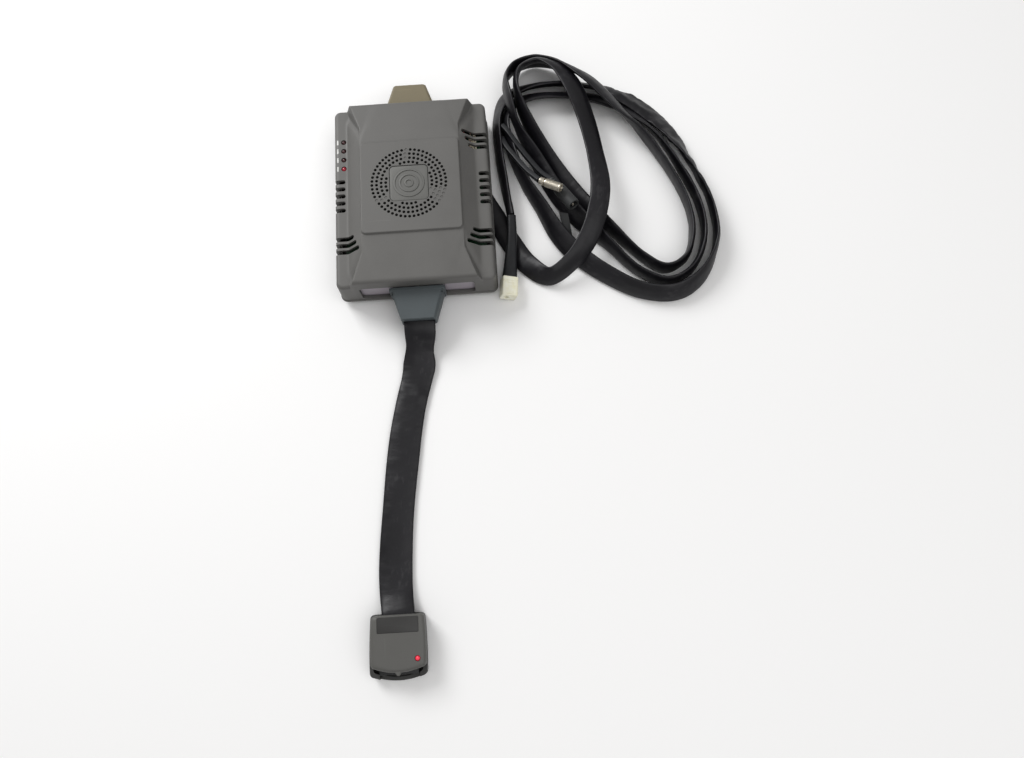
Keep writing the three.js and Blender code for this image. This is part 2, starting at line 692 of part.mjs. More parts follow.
// Under the box, round a small loop, then three times round a long one.
const HARNESS_ROUTE = [
  [3.4, 83.2, 1.9], [20, 53, 1.9], [36, 21, 1.9], [52, -10, 1.9], [61, -29, 2], [71, -46, 3.5],
  [84, -56, 6.5], [99, -48, 11], [110, -35, 15], [117, -19, 18.5], [121, 0, 19], [120, 28, 16],
  [116, 54, 16], [110, 74, 19], [101, 92, 17], [88, 101, 13], [76, 96, 13.5], [71.5, 80, 17.5],
  [75, 61, 15], [85.5, 38, 8], [98, 13, 5.5], [111, -7, 5.5], [127, -26, 7], [145, -47, 7.5],
  [159, -56, 7.5], [172, -50, 7.5], [179, -32, 7.5], [178, -11, 7.5], [169, 15, 7.5], [154, 42, 9.5],
  [136, 61, 17], [118, 83, 18], [102, 98, 11], [86, 104.6, 7.5], [73, 100, 9], [65, 86, 15],
  [65.5, 71, 17.5], [70.5, 52, 12], [80.5, 31, 6.5], [92.5, 5, 5.5], [105, -14, 5.5], [122, -34, 7],
  [141, -56, 7.5], [159, -65, 7.5], [176, -57, 7.5], [186, -37, 7.5], [186, -13, 7.5], [177, 14, 7.5],
  [163, 43, 6.5], [145, 63, 5.5], [125, 73, 5.5], [102, 77, 5.5], [83, 77, 5.5], [69, 72, 5.5],
  [62.5, 60, 6], [65, 38, 6.5], [73, 12, 6.5], [82, -6, 6], [91, -25, 5.2], [101, -39, 5],
  [118, -55, 6], [143, -70, 6.5], [166, -72, 6.5], [184, -60, 7], [194, -38, 7.5], [194, -13, 7.5],
  [186, 14, 6.5], [173, 43, 5], [155, 65, 4.5], [133, 79, 5], [108, 85, 6], [84, 85, 6],
  [66, 79, 5.5], [57.5, 61, 6], [57, 37, 6.5], [59.3, 10, 7], [61.8, -12, 7.5],
];
piece("harness_fold", sweep(HARNESS_FOLD, circle(HARNESS_DIAMETER, 8), 12), sleeveBlack);
piece("harness_sleeve", sweep(HARNESS_ROUTE, circle(HARNESS_DIAMETER, 8), 78), sleeveBlack);

// ---- the three leads at the harness's end, and what is on them ----
const WHITE_LEAD = [
  [62.2, -12.6, 8.3],
  [61.8, -24, 7.6],
  [60.4, -38, 6.7],
  [58.2, -54.8, 5.7],
];
const WHITE_LEAD_WIDTH = 7.4;
const WHITE_LEAD_THICK = 4.6;
const whiteLeadOutline = flatOutline(WHITE_LEAD_WIDTH, WHITE_LEAD_THICK);
piece("white_lead", sweep(WHITE_LEAD, whiteLeadOutline, 8), blackPlastic);

const whitePlug = new THREE.Group();
whitePlug.position.set(58, -55.2, 5.8);
whitePlug.rotation.set(0, THREE.MathUtils.degToRad(15), THREE.MathUtils.degToRad(-6), "ZYX");
object.add(whitePlug);
piece(
  "white_connector",
  cut(block(-5.1, -13, -4.5, 5.1, 0, 4.5), rod(1.6, 8, 0, -14, 0, { along: "y", sides: 12 })),
  ivory,
  whitePlug,
);

// A turned body of revolution whose axis runs from one point towards another.
function turned(profile, from, to, sides = 16) {
  const outline = profile.map(([r, y]) => new THREE.Vector2(r, y));
  const direction = new THREE.Vector3(...to).sub(new THREE.Vector3(...from)).normalize();
  const turn = new THREE.Quaternion().setFromUnitVectors(new THREE.Vector3(0, 1, 0), direction);
  return new THREE.LatheGeometry(outline, sides).applyQuaternion(turn).translate(...from);
}

const PLUG_FROM = [82.1, 5.1, 20.5];
const PLUG_TO = [96.2, -4, 24.4];
const JACK_FROM = [89.9, 9.3, 13];
const JACK_TO = [103.6, -14.4, 18.6];
const PLUG_LEAD = [
  [59.8, 44, 10],
  [62, 36, 13.4],
  [67, 27, 15],
  [74, 15, 18],
  [81.4, 5.6, 20.4],
];
const JACK_LEAD = [
  [60.6, 53, 11],
  [64, 47, 12.6],
  [69, 38, 12.6],
  [77, 25, 12.4],
  [84, 15, 12.4],
  [89.6, 9.7, 12.9],
];
const LEAD_DIAMETER = 3.6;
piece("plug_lead", sweep(PLUG_LEAD, circle(LEAD_DIAMETER, 8), 10), blackPlastic);
piece("jack_lead", sweep(JACK_LEAD, circle(LEAD_DIAMETER, 8), 12), blackPlastic);

const barrelPlug = [
  [0, 0], [2.1, 0], [2.1, 3.6], [2.9, 4.2], [2.9, 14.4], [2.3, 14.4], [2.3, 9], [0, 9],
];
const jackRelief = [
  [0, 0], [2.2, 0], [2.2, 2.2], [2.7, 2.2], [2.7, 4], [2.3, 4], [2.3, 6.2], [3.2, 6.2],
  [3.2, 8.2], [0, 8.2],
];
const jackBody = [
  [0, 8.5], [4, 8.5], [4.2, 10], [4.2, 26], [2.8, 26], [2.8, 15], [0, 15],
];
const jackPin = [
  [0, 15.3], [1, 15.3], [1, 24.4], [0.5, 25.2], [0, 25.2],
];
piece("barrel_plug_sleeve", turned(barrelPlug, PLUG_FROM, PLUG_TO), nickel);
const plugTip = [
  [0, 9.3], [1.9, 9.3], [1.9, 16.8], [0, 16.8],
];
piece("barrel_plug_tip", turned(plugTip, PLUG_FROM, PLUG_TO, 12), blackPlastic);
piece("barrel_jack_relief", turned(jackRelief, JACK_FROM, JACK_TO), blackPlastic);
piece("barrel_jack_body", turned(jackBody, JACK_FROM, JACK_TO, 20), blackPlastic);
piece("barrel_jack_pin", turned(jackPin, JACK_FROM, JACK_TO, 10), nickel);

// A thin tag that leans from the harness down to the table.
const TAG_THICK = 1;
const tagCorners = [
  [93.5, -12.5, 8.6],
  [99.3, -14, 8.6],
  [96.8, -28, 2],
  [101.4, -27, 2],
];
const tag = hull(tagCorners.flatMap(([x, y, z]) => [[x, y, z], [x, y, z + TAG_THICK]]));
piece("cable_tag", tag, blackPlastic);

export default object;
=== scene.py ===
# %% [markdown]
# # A vented interface box with sleeved leads
# The object is a grey moulded box with a hooded plug at each end. A short flat lead runs from the
# front plug to a small pod. A long flat harness runs from the rear plug, and lies in loops beside
# the box.
# The CAD frame gives every piece's place. This script makes the surfaces that are seen: smooth
# moulded shells, creased sleeves, turned metal, and a finish for each material.

# %% Load the frame
import itertools
import json
import math

import bmesh
import bpy
import numpy as np
from mathutils import Matrix, Vector, noise

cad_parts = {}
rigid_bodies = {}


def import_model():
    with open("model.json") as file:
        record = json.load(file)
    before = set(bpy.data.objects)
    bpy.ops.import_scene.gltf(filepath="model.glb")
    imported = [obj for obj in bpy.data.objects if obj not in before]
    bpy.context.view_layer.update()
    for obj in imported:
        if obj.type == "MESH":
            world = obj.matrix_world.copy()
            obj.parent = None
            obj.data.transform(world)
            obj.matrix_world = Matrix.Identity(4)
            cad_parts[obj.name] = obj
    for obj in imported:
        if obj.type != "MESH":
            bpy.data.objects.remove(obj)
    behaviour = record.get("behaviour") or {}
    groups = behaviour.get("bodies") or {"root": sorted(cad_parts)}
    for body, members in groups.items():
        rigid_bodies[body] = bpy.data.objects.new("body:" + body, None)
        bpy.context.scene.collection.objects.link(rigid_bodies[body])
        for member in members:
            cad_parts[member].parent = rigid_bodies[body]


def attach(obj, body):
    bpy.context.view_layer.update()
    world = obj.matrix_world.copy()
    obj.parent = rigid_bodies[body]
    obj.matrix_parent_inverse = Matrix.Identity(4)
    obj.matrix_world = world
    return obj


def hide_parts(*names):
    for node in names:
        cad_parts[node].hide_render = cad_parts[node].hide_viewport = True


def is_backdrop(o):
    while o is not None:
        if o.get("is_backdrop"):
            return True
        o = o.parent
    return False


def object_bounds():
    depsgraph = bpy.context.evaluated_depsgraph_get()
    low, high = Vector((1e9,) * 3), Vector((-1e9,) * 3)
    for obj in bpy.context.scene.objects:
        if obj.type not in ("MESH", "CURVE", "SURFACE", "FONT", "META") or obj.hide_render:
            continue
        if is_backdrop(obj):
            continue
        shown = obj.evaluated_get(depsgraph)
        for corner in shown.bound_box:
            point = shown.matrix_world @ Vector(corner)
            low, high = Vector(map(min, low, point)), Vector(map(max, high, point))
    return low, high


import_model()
cad_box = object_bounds()
MM = 0.001

# %% [markdown]
# ## Camera
# The camera looks almost straight down from half a metre, tipped forward by about 15 degrees. It is
# made first, because the room that loose cords may take depends on what it sees. Its turn is built
# from three simple ones: tip about X, turn about the vertical, and roll about its own axis.

# %% Camera
camera = bpy.data.objects.new("camera", bpy.data.cameras.new("camera"))
camera.data.sensor_width = 36
camera.data.lens = 27.07
tip = Matrix.Rotation(math.radians(14.81), 4, "X")
turn = Matrix.Rotation(math.radians(-1.69), 4, "Z")
roll = Matrix.Rotation(math.radians(-2.24), 4, "Z")
camera.matrix_world = Matrix.Translation((0.0516, -0.2448, 0.4694)) @ turn @ tip @ roll
bpy.context.scene.collection.objects.link(camera)
bpy.context.scene.camera = camera
print("camera at", [round(c, 3) for c in camera.matrix_world.translation])

# %% [markdown]
# ## Node trees written as Python
# A finish is a formula, so it reads best as one. `Wire` wraps the output of a node and gives it
# arithmetic: each operator adds a Math node. `Tree` has one method that makes any other node from
# its type, its input values and its settings. The same two classes write shader trees and
# geometry trees, because both kinds hold nodes, sockets and links.

# %% Wires and trees
class Wire:
    def __init__(self, tree, socket):
        self.tree = tree
        self.socket = socket

    def maths(self, operation, *values):
        inputs = dict(enumerate(values))
        return self.tree.node("ShaderNodeMath", inputs, operation=operation)

    def __add__(self, other):
        return self.maths("ADD", self, other)

    def __radd__(self, other):
        return self.maths("ADD", other, self)

    def __sub__(self, other):
        return self.maths("SUBTRACT", self, other)

    def __rsub__(self, other):
        return self.maths("SUBTRACT", other, self)

    def __mul__(self, other):
        return self.maths("MULTIPLY", self, other)

    def __rmul__(self, other):
        return self.maths("MULTIPLY", other, self)

    def __truediv__(self, other):
        return self.maths("DIVIDE", self, other)

    def output(self, name):
        return Wire(self.tree, self.socket.node.outputs[name])


class Tree:
    def __init__(self, nodes):
        self.nodes = nodes

    def node(self, kind, inputs=None, **settings):
        made = self.nodes.nodes.new(kind)
        stops = settings.pop("stops", None)
        for setting, value in settings.items():
            setattr(made, setting, value)
        if stops:
            self.set_stops(made.color_ramp.elements, stops)
        for place, value in (inputs or {}).items():
            self.feed(made.inputs[place], value)
        return Wire(self, next(s for s in made.outputs if s.enabled))

    def feed(self, socket, value):
        if isinstance(value, Wire):
            self.nodes.links.new(value.socket, socket)
        else:
            socket.default_value = value

    def set_stops(self, elements, stops):
        for index, (place, grey) in enumerate(stops):
            element = elements[index] if index < 2 else elements.new(place)
            element.position = place
            element.color = (grey, grey, grey, 1)


print("wires and trees ready")

# %% [markdown]
# ## A finish
# Every finish starts from one shader and three things that real surfaces share: the tone drifts a
# little from place to place, the gloss drifts too, and a fine grain roughens the light. `Finish`
# gives these as short methods. Sizes are in millimetres, and patterns sit on object coordinates,
# so they stay put when a piece moves. Sleeves use their own UV map instead, because their pattern
# follows the cord.

# %% The Finish class
class Finish(Tree):
    def __init__(self, name, roughness, metallic=0.0, coat=0.0, on_uv=False):
        self.material = bpy.data.materials.new(name)
        self.material.use_nodes = True
        super().__init__(self.material.node_tree)
        self.shader = self.nodes.nodes["Principled BSDF"]
        self.set(Roughness=roughness, Metallic=metallic)
        self.feed(self.shader.inputs["Coat Weight"], coat)
        place = self.node("ShaderNodeTexCoord")
        self.place = place.output("UV" if on_uv else "Object")

    def set(self, **values):
        for name, value in values.items():
            self.feed(self.shader.inputs[name.replace("_", " ")], value)

    def place_axis(self, axis):
        return self.node("ShaderNodeSeparateXYZ", {"Vector": self.place}).output(axis)

    def stretched(self, *scale, turn=0.0):
        inputs = {"Vector": self.place, "Scale": scale, "Rotation": (0, 0, math.radians(turn))}
        return self.node("ShaderNodeMapping", inputs)

    def noise(self, size, detail=2.0, where=None):
        inputs = {"Vector": where or self.place, "Scale": 1 / (size * MM), "Detail": detail}
        return self.node("ShaderNodeTexNoise", inputs)

    def step(self, value, low, high):
        inputs = {"Value": value, "From Min": low, "From Max": high}
        return self.node("ShaderNodeMapRange", inputs, clamp=True)

    def blend(self, factor, first, second):
        inputs = {0: factor, 6: first, 7: second}
        return self.node("ShaderNodeMix", inputs, data_type="RGBA")

    def tones(self, colour, factor, dark, light):
        """The colour made darker or lighter between two factors of itself."""
        low = (*[c * dark for c in colour], 1)
        high = (*[min(1, c * light) for c in colour], 1)
        return self.blend(factor, low, high)

    def relief(self, height, depth, under=None):
        inputs = {"Height": height, "Distance": depth * MM, "Strength": 1.0}
        if under:
            inputs["Normal"] = under
        return self.node("ShaderNodeBump", inputs)


print("finish class ready")

# %% [markdown]
# ## Moulded plastic
# The shells are moulded in a tool with a spark-eroded face, which leaves a fine even grain. Years
# on a bench add dull patches and hairline scratches. The grain is a small noise in the bump.
# Scratches are a noise that is stretched until only thin lines pass a threshold. Corners and
# grooves are painted with shade: where ambient occlusion is strong, the colour turns darker. The
# box also has a short pale bar beside each of its four lamps, as a mask in its finish.

# %% Marks beside the lamps
LAMP_X = -43.6
LAMP_PITCH = 6.4
LAMP_START = 20.0
BAR_X = -47.5
BAR_HALF = (0.5, 1.7)
BARS_MIDDLE = 29.8
BARS_REACH = 12.6
BARS_ABOVE = 24.0


def printed_marks(made):
    """Pale bars on the left wing, as a mask from object coordinates."""
    x, y, z = (made.place_axis(axis) for axis in "XYZ")
    half_pitch = LAMP_PITCH / 2
    row = y.maths("PINGPONG", y - (LAMP_START - half_pitch) * MM, half_pitch * MM)
    bar = row.maths("GREATER_THAN", row, (half_pitch - BAR_HALF[1]) * MM)
    across = x.maths("COMPARE", x, BAR_X * MM, BAR_HALF[0] * MM)
    span = y.maths("COMPARE", y, BARS_MIDDLE * MM, BARS_REACH * MM)
    return bar * across * span * z.maths("GREATER_THAN", z, BARS_ABOVE * MM)


# %% Moulded plastic
CORNER_SHADE_REACH = 2.2


def moulded(
    name, colour, roughness=0.5, grain=0.35, grain_depth=0.012, scratches=0.5, corner_shade=0.6,
    marks=False,
):
    made = Finish(name, roughness)
    drift = made.noise(24, 4)
    speckle = made.noise(0.5, 1)
    body = made.tones(colour, made.step(drift * 0.7 + speckle * 0.3, 0.3, 0.7), 0.93, 1.07)
    lines = made.noise(1.1, 2, made.stretched(1, 0.03, 1, turn=24))
    crossing = made.noise(1.3, 2, made.stretched(0.03, 1, 1, turn=-17))
    scratch = made.step(lines.maths("MAXIMUM", lines, crossing), 0.73, 0.78) * scratches
    light = (*[min(1, c * 1.9 + 0.02) for c in colour], 1)
    marked = made.blend(scratch * 0.4, body, light)
    # Painted shade: ambient occlusion finds corners and grooves, and the colour there turns towards
    # a dark copy of itself.
    reach = {"Distance": CORNER_SHADE_REACH * MM}
    open_air = made.node("ShaderNodeAmbientOcclusion", reach, samples=4).output("AO")
    corner = made.step(1 - open_air, 0.1, 0.75) * corner_shade
    if marks:
        ink = printed_marks(made) * made.step(made.noise(0.6, 3), 0.3, 0.45)
        marked = made.blend(ink, marked, (0.62, 0.62, 0.6, 1))
    # The dark colour of the painted shade in corners and grooves.
    deep = (*[c * 0.45 for c in colour], 1)
    grain_height = made.noise(grain, 2)
    made.set(
        Base_Color=made.blend(corner, marked, deep),
        Roughness=roughness + made.step(drift, 0.35, 0.65) * 0.1 - scratch * 0.1,
        Normal=made.relief(grain_height, grain_depth, made.relief(scratch, -0.02)),
    )
    return made.material


box_plastic = moulded("box_plastic", (0.13, 0.128, 0.123), 0.46, grain_depth=0.02, marks=True)
badge_plastic = moulded("badge_plastic", (0.14, 0.14, 0.133), 0.48, grain_depth=0.006)
panel_plastic = moulded(
    "panel_plastic", (0.36, 0.33, 0.365), 0.42, grain_depth=0.004, scratches=0.2
)
grey_hood = moulded("grey_hood", (0.078, 0.092, 0.098), 0.42, grain_depth=0.008)
taupe_hood = moulded("taupe_hood", (0.19, 0.165, 0.108), 0.5, grain_depth=0.008)
pod_plastic = moulded("pod_plastic", (0.112, 0.111, 0.105), 0.46, grain_depth=0.012)
# The pod's lower shell is the same plastic as the upper one, made darker as painted shade on its
# lip and sides.
pod_nose_plastic = moulded("pod_nose_plastic", (0.045, 0.045, 0.043), 0.42, grain_depth=0.01)
black_plastic = moulded("black_plastic", (0.016, 0.017, 0.018), 0.42, grain_depth=0.006, corner_shade=0.1)
grey_rubber = moulded("grey_rubber", (0.05, 0.052, 0.053), 0.46, grain_depth=0.008, corner_shade=0.2)
label_film = moulded(
    "label_film", (0.042, 0.041, 0.04), 0.36, grain=0.8, grain_depth=0.03, corner_shade=0.1
)
print("moulded plastics:", len([m for m in bpy.data.materials if "plastic" in m.name]))

# %% [markdown]
# ## Sleeve
# The leads run in flat black heat-shrunk sleeving. It is soft and satin, it takes small creases
# across its width where it was bent, and it rubs in patches to a slightly paler grey.
# The pattern lies on the sleeve's UV map, with metres along the cord in U and across it in V.

# %% Sleeve
def sleeving(name, colour, roughness):
    made = Finish(name, roughness, on_uv=True)
    drift = made.noise(30, 3)
    rub = made.noise(5, 5, made.stretched(1, 2.2, 1))
    crease = made.noise(3.4, 3, made.stretched(1, 0.35, 1))
    ripple = made.noise(11, 2, made.stretched(1, 0.6, 1))
    fine = made.noise(0.5, 2)
    scuffs = made.step(rub * drift * 2, 0.62, 0.8)
    flecks = made.step(made.noise(1.1, 2), 0.7, 0.74)
    grey = (0.1, 0.098, 0.1, 1)
    body = made.tones(colour, made.step(drift, 0.3, 0.7), 0.8, 1.3)
    made.set(
        Base_Color=made.blend(scuffs * 0.16 + flecks * 0.12, body, grey),
        Roughness=roughness + made.step(drift, 0.3, 0.7) * 0.1 + scuffs * 0.08 - 0.05,
        Normal=made.relief(fine, 0.01, made.relief(crease, 0.16, made.relief(ripple, 0.5))),
    )
    return made.material


sleeve_black = sleeving("sleeve_black", (0.0075, 0.007, 0.0095), 0.42)
lead_black = sleeving("lead_black", (0.011, 0.012, 0.0145), 0.46)

# %% [markdown]
# ## Metals, nylon, lamps and boards
# Plated metal shows fine turning lines and small dull stains. Ivory nylon yellows in patches. The
# lit lamp glows a little under its clear dome. Boards have a grid of tracks under a green mask.
# Each is a short formula on the same class.

# %% Metals
def plated(name, colour, roughness, lines=0.25):
    made = Finish(name, roughness, metallic=1.0)
    stain = made.step(made.noise(4, 4), 0.45, 0.7)
    turning = made.noise(lines, 2)
    made.set(
        Base_Color=made.tones(colour, stain, 1.0, 0.72),
        Roughness=roughness + stain * 0.14 + turning * 0.06,
        Normal=made.relief(turning, 0.006),
    )
    return made.material


def anodised(name, colour, roughness):
    made = Finish(name, roughness, metallic=1.0)
    brushed = made.noise(0.6, 3, made.stretched(1, 0.05, 1))
    made.set(
        Base_Color=made.tones(colour, brushed, 0.8, 1.15),
        Roughness=roughness + brushed * 0.15,
        Normal=made.relief(brushed, 0.01),
    )
    return made.material


nickel = plated("nickel", (0.62, 0.58, 0.5), 0.28)
zinc_steel = plated("zinc_steel", (0.5, 0.5, 0.49), 0.36)
heat_sink_metal = anodised("heat_sink_metal", (0.3, 0.31, 0.32), 0.45)

# %% Nylon, rubber, epoxy, lamps and boards
def nylon(name, colour, yellow):
    made = Finish(name, 0.4)
    patch = made.step(made.noise(3.5, 4), 0.4, 0.7)
    flow = made.noise(0.9, 2, made.stretched(1, 0.15, 1))
    made.set(
        Base_Color=made.blend(patch * 0.5, (*colour, 1), (*yellow, 1)),
        Roughness=0.34 + flow * 0.14,
        Normal=made.relief(flow, 0.02),
    )
    return made.material


def rubbery(name, colour):
    made = Finish(name, 0.8)
    dust = made.step(made.noise(2.2, 5), 0.5, 0.72)
    made.set(
        Base_Color=made.blend(dust * 0.3, (*colour, 1), (0.11, 0.105, 0.1, 1)),
        Roughness=0.74 + dust * 0.15,
        Normal=made.relief(made.noise(0.4, 2), 0.02),
    )
    return made.material


def lamp(name, colour, glow):
    made = Finish(name, 0.18, coat=0.6)
    cloud = made.step(made.noise(1.2, 2), 0.35, 0.65)
    made.set(
        Base_Color=made.tones(colour, cloud, 0.8, 1.15),
        Emission_Color=made.tones(colour, cloud, 0.85, 1.1),
    )
    made.shader.inputs["Emission Strength"].default_value = glow
    return made.material


def printed_board(name):
    made = Finish(name, 0.35, coat=0.3)
    inputs = {"Vector": made.place, "Scale": 420.0}
    cells = made.node("ShaderNodeTexVoronoi", inputs, feature="DISTANCE_TO_EDGE")
    tracks = made.step(cells, 0.05, 0.09)
    made.set(
        Base_Color=made.blend(tracks, (0.008, 0.06, 0.022, 1), (0.004, 0.03, 0.011, 1)),
        Roughness=0.3 + tracks * 0.12,
        Normal=made.relief(tracks, -0.03),
    )
    return made.material


ivory_nylon = nylon("ivory_nylon", (0.86, 0.85, 0.73), (0.74, 0.7, 0.46))
foot_rubber = rubbery("foot_rubber", (0.014, 0.014, 0.014))
red_epoxy = nylon("red_epoxy", (0.5, 0.02, 0.022), (0.36, 0.015, 0.02))
lit_lamp = lamp("lit_lamp", (0.72, 0.045, 0.08), 0.25)
dim_lamp = lamp("dim_lamp", (0.34, 0.02, 0.04), 0.12)
dark_lamp = lamp("dark_lamp", (0.05, 0.011, 0.012), 0.0)
circuit_board = printed_board("circuit_board")
print("finishes:", len(bpy.data.materials))

# %% [markdown]
# ## Mesh helpers
# Most pieces here are skins over rings: a list of closed outlines, each with the same number of
# points, joined by quads and closed at both ends. A hood, a tray, a turned plug and a sleeve are
# all such skins. Points are in millimetres, and become metres in one place. Faces are turned
# outwards, and an edge stays sharp only where its faces meet at more than a set angle.

# %% Mesh helpers
def piece(name, points, faces, finish, sharp=35):
    mesh = bpy.data.meshes.new(name)
    mesh.from_pydata((np.asarray(points, float) * MM).tolist(), [], faces)
    made = bpy.data.objects.new(name, mesh)
    bpy.context.scene.collection.objects.link(made)
    mesh.materials.append(finish)
    return tidied(made, sharp)


def tidied(made, sharp=35):
    """Turns faces outwards and marks the sharp edges."""
    work = bmesh.new()
    work.from_mesh(made.data)
    bmesh.ops.recalc_face_normals(work, faces=work.faces)
    for face in work.faces:
        face.smooth = True
    for edge in work.edges:
        edge.smooth = edge.calc_face_angle(0) < math.radians(sharp)
    work.to_mesh(made.data)
    work.free()
    return made


def skin(rings):
    """Points and faces of a closed skin over rings with the same number of points."""
    count = len(rings[0])
    faces = []
    for low in range(0, (len(rings) - 1) * count, count):
        for i in range(count):
            following = (i + 1) % count
            faces.append((low + i, low + following, low + count + following, low + count + i))
    last = (len(rings) - 1) * count
    faces += [tuple(range(count)), tuple(range(last, last + count))]
    return np.concatenate(rings), faces


def bake(made):
    """Turns what the modifiers show into the object's own mesh."""
    shown = made.evaluated_get(bpy.context.evaluated_depsgraph_get())
    mesh = bpy.data.meshes.new_from_object(shown)
    made.modifiers.clear()
    made.data = mesh
    return made


def carve(body, *tools, operation="DIFFERENCE", sharp=35):
    """Cuts tools out of a body, or joins them to it, and removes them."""
    finish = body.data.materials[0]
    for tool in tools:
        cut = body.modifiers.new("carve", "BOOLEAN")
        cut.object = tool
        cut.operation = operation
        cut.solver = "MANIFOLD"
    bake(body)
    body.data.materials.clear()
    body.data.materials.append(finish)
    for tool in tools:
        bpy.data.objects.remove(tool)
    return tidied(body, sharp)


def rounded(width, length, radius, centre=(0, 0), steps=6):
    """The points of a rectangle with round corners, anticlockwise from the right."""
    points = []
    for quarter, (sx, sy) in enumerate([(1, 1), (-1, 1), (-1, -1), (1, -1)]):
        for i in range(steps + 1):
            angle = math.radians(90 * (quarter + i / steps))
            x = sx * (width / 2 - radius) + radius * math.cos(angle)
            y = sy * (length / 2 - radius) + radius * math.sin(angle)
            points.append((centre[0] + x, centre[1] + y))
    return np.array(points)


def upright(outline, z):
    return np.column_stack([outline, np.full(len(outline), z)])


def facing(outline, y):
    """An outline in X and Z, set at one place along Y."""
    return np.column_stack([outline[:, 0], np.full(len(outline), y), outline[:, 1]])


def slab(name, width, length, radius, z0, z1, finish, edge=0.3, centre=(0, 0)):
    """A rounded rectangle standing on z0, with rounded upper and lower edges."""
    rings = []
    for z, inset in [*edge_steps(z0, edge, 1), *edge_steps(z1, edge, -1)[::-1]]:
        corner = max(radius - inset, 0.05)
        rings.append(upright(rounded(width - 2 * inset, length - 2 * inset, corner, centre), z))
    return piece(name, *skin(rings), finish)


def edge_steps(z, edge, inward, steps=3):
    """Heights and insets of a quarter round that starts at z and goes inward."""
    angles = [math.radians(90 * i / steps) for i in range(steps + 1)]
    return [(z + inward * edge * (1 - math.cos(a)), edge * (1 - math.sin(a))) for a in angles]


def rod(name, radius, z0, z1, finish, sides=24, centre=(0, 0), edge=0.0):
    circle = np.array([(math.cos(2 * math.pi * i / sides), math.sin(2 * math.pi * i / sides))
                       for i in range(sides)])
    levels = [(z0, 0), (z1, 0)]
    if edge:
        levels = [*edge_steps(z0, edge, 1), *edge_steps(z1, edge, -1)[::-1]]
    rings = [upright(circle * (radius - inset) + centre, z) for z, inset in levels]
    return piece(name, *skin(rings), finish)


def turned(name, profile, start, toward, finish, sides=32, sharp=35):
    """A solid of revolution: profile is (radius, distance) along the axis from start."""
    axis = (Vector(toward) - Vector(start)).normalized()
    turn = axis.to_track_quat("Z", "Y").to_matrix()
    rings = []
    for radius, along in profile:
        ring = []
        for i in range(sides):
            angle = 2 * math.pi * i / sides
            point = Vector((radius * math.cos(angle), radius * math.sin(angle), along))
            ring.append(Vector(start) + turn @ point)
        rings.append(np.array(ring))
    return piece(name, *skin(rings), finish, sharp)


def placed(made, matrix):
    made.data.transform(matrix)
    made.data.update()
    return made


def shift(x, y, z):
    return Matrix.Translation(Vector((x, y, z)) * MM)


def hand_in(made, body, slot, *nodes):
    """Rides on a body and stands for CAD nodes; the slot argument is not used."""
    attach(made, body)
    if nodes:
        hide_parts(*nodes)
    print(made.name, len(made.data.polygons), "faces on", body)
    return made


# %% [markdown]
# ## Repeats with Geometry Nodes
# Vent slots, lamp holes, feet, screws and the socket's contacts all repeat on a straight grid. One
# geometry tree copies whatever mesh it is given on a grid of two steps. Its index is split into a
# column and a row by division, and the copies are made real at the end, so that what leaves the
# tree is a plain mesh.

# %% A grid of copies
class GeometryTree(Tree):
    def __init__(self, name, **sizes):
        group = bpy.data.node_groups.new(name, "GeometryNodeTree")
        super().__init__(group)
        self.ids = {}
        group.interface.new_socket("Geometry", in_out="INPUT", socket_type="NodeSocketGeometry")
        group.interface.new_socket("Geometry", in_out="OUTPUT", socket_type="NodeSocketGeometry")
        for label, kind in sizes.items():
            socket_type = "NodeSocket" + kind
            made = group.interface.new_socket(label, in_out="INPUT", socket_type=socket_type)
            self.ids[label] = made.identifier
        self.entry = group.nodes.new("NodeGroupInput")
        self.end = group.nodes.new("NodeGroupOutput")

    def given(self, label):
        return Wire(self, self.entry.outputs[label])

    def vector(self, operation, *values, **named):
        inputs = {**dict(enumerate(values)), **named}
        return self.node("ShaderNodeVectorMath", inputs, operation=operation)

    def close(self, geometry):
        real = self.node("GeometryNodeRealizeInstances", {"Geometry": geometry})
        inputs = {"Geometry": real, "Material": self.given("Material")}
        painted = self.node("GeometryNodeSetMaterial", inputs)
        self.nodes.links.new(painted.socket, self.end.inputs["Geometry"])
        return self

    def use(self, made, **values):
        """Runs the tree on an object and keeps the result as its mesh."""
        modifier = made.modifiers.new("repeat", "NODES")
        modifier.node_group = self.nodes
        for label, value in values.items():
            modifier[self.ids[label]] = value
        return bake(made)


def grid_tree():
    tree = GeometryTree(
        "grid_of_copies", Columns="Int", Rows="Int",
        First="Vector", Across="Vector", Along="Vector", Material="Material",
    )
    columns = tree.given("Columns")
    count = columns * tree.given("Rows")
    points = tree.node("GeometryNodeMeshLine", {"Count": count, "Offset": (0, 0, 0)})
    index = tree.node("GeometryNodeInputIndex")
    row = tree.node("ShaderNodeMath", {0: index / columns}, operation="FLOOR")
    column = index - row * columns
    over = tree.vector("SCALE", tree.given("Across"), Scale=column)
    up = tree.vector("SCALE", tree.given("Along"), Scale=row)
    place = tree.vector("ADD", tree.given("First"), tree.vector("ADD", over, up))
    spread = tree.node("GeometryNodeSetPosition", {"Geometry": points, "Position": place})
    inputs = {"Points": spread, "Instance": tree.given("Geometry")}
    return tree.close(tree.node("GeometryNodeInstanceOnPoints", inputs))


copies_on_grid = grid_tree()


def grid_of(made, first, across=(0, 0, 0), along=(0, 0, 0), columns=1, rows=1, sharp=35):
    finish = made.data.materials[0]
    scaled = [[c * MM for c in v] for v in (first, across, along)]
    copies_on_grid.use(
        made, Columns=columns, Rows=rows, First=scaled[0], Across=scaled[1], Along=scaled[2],
        Material=finish,
    )
    return tidied(made, sharp)


print("grid tree:", len(copies_on_grid.nodes.nodes), "nodes")

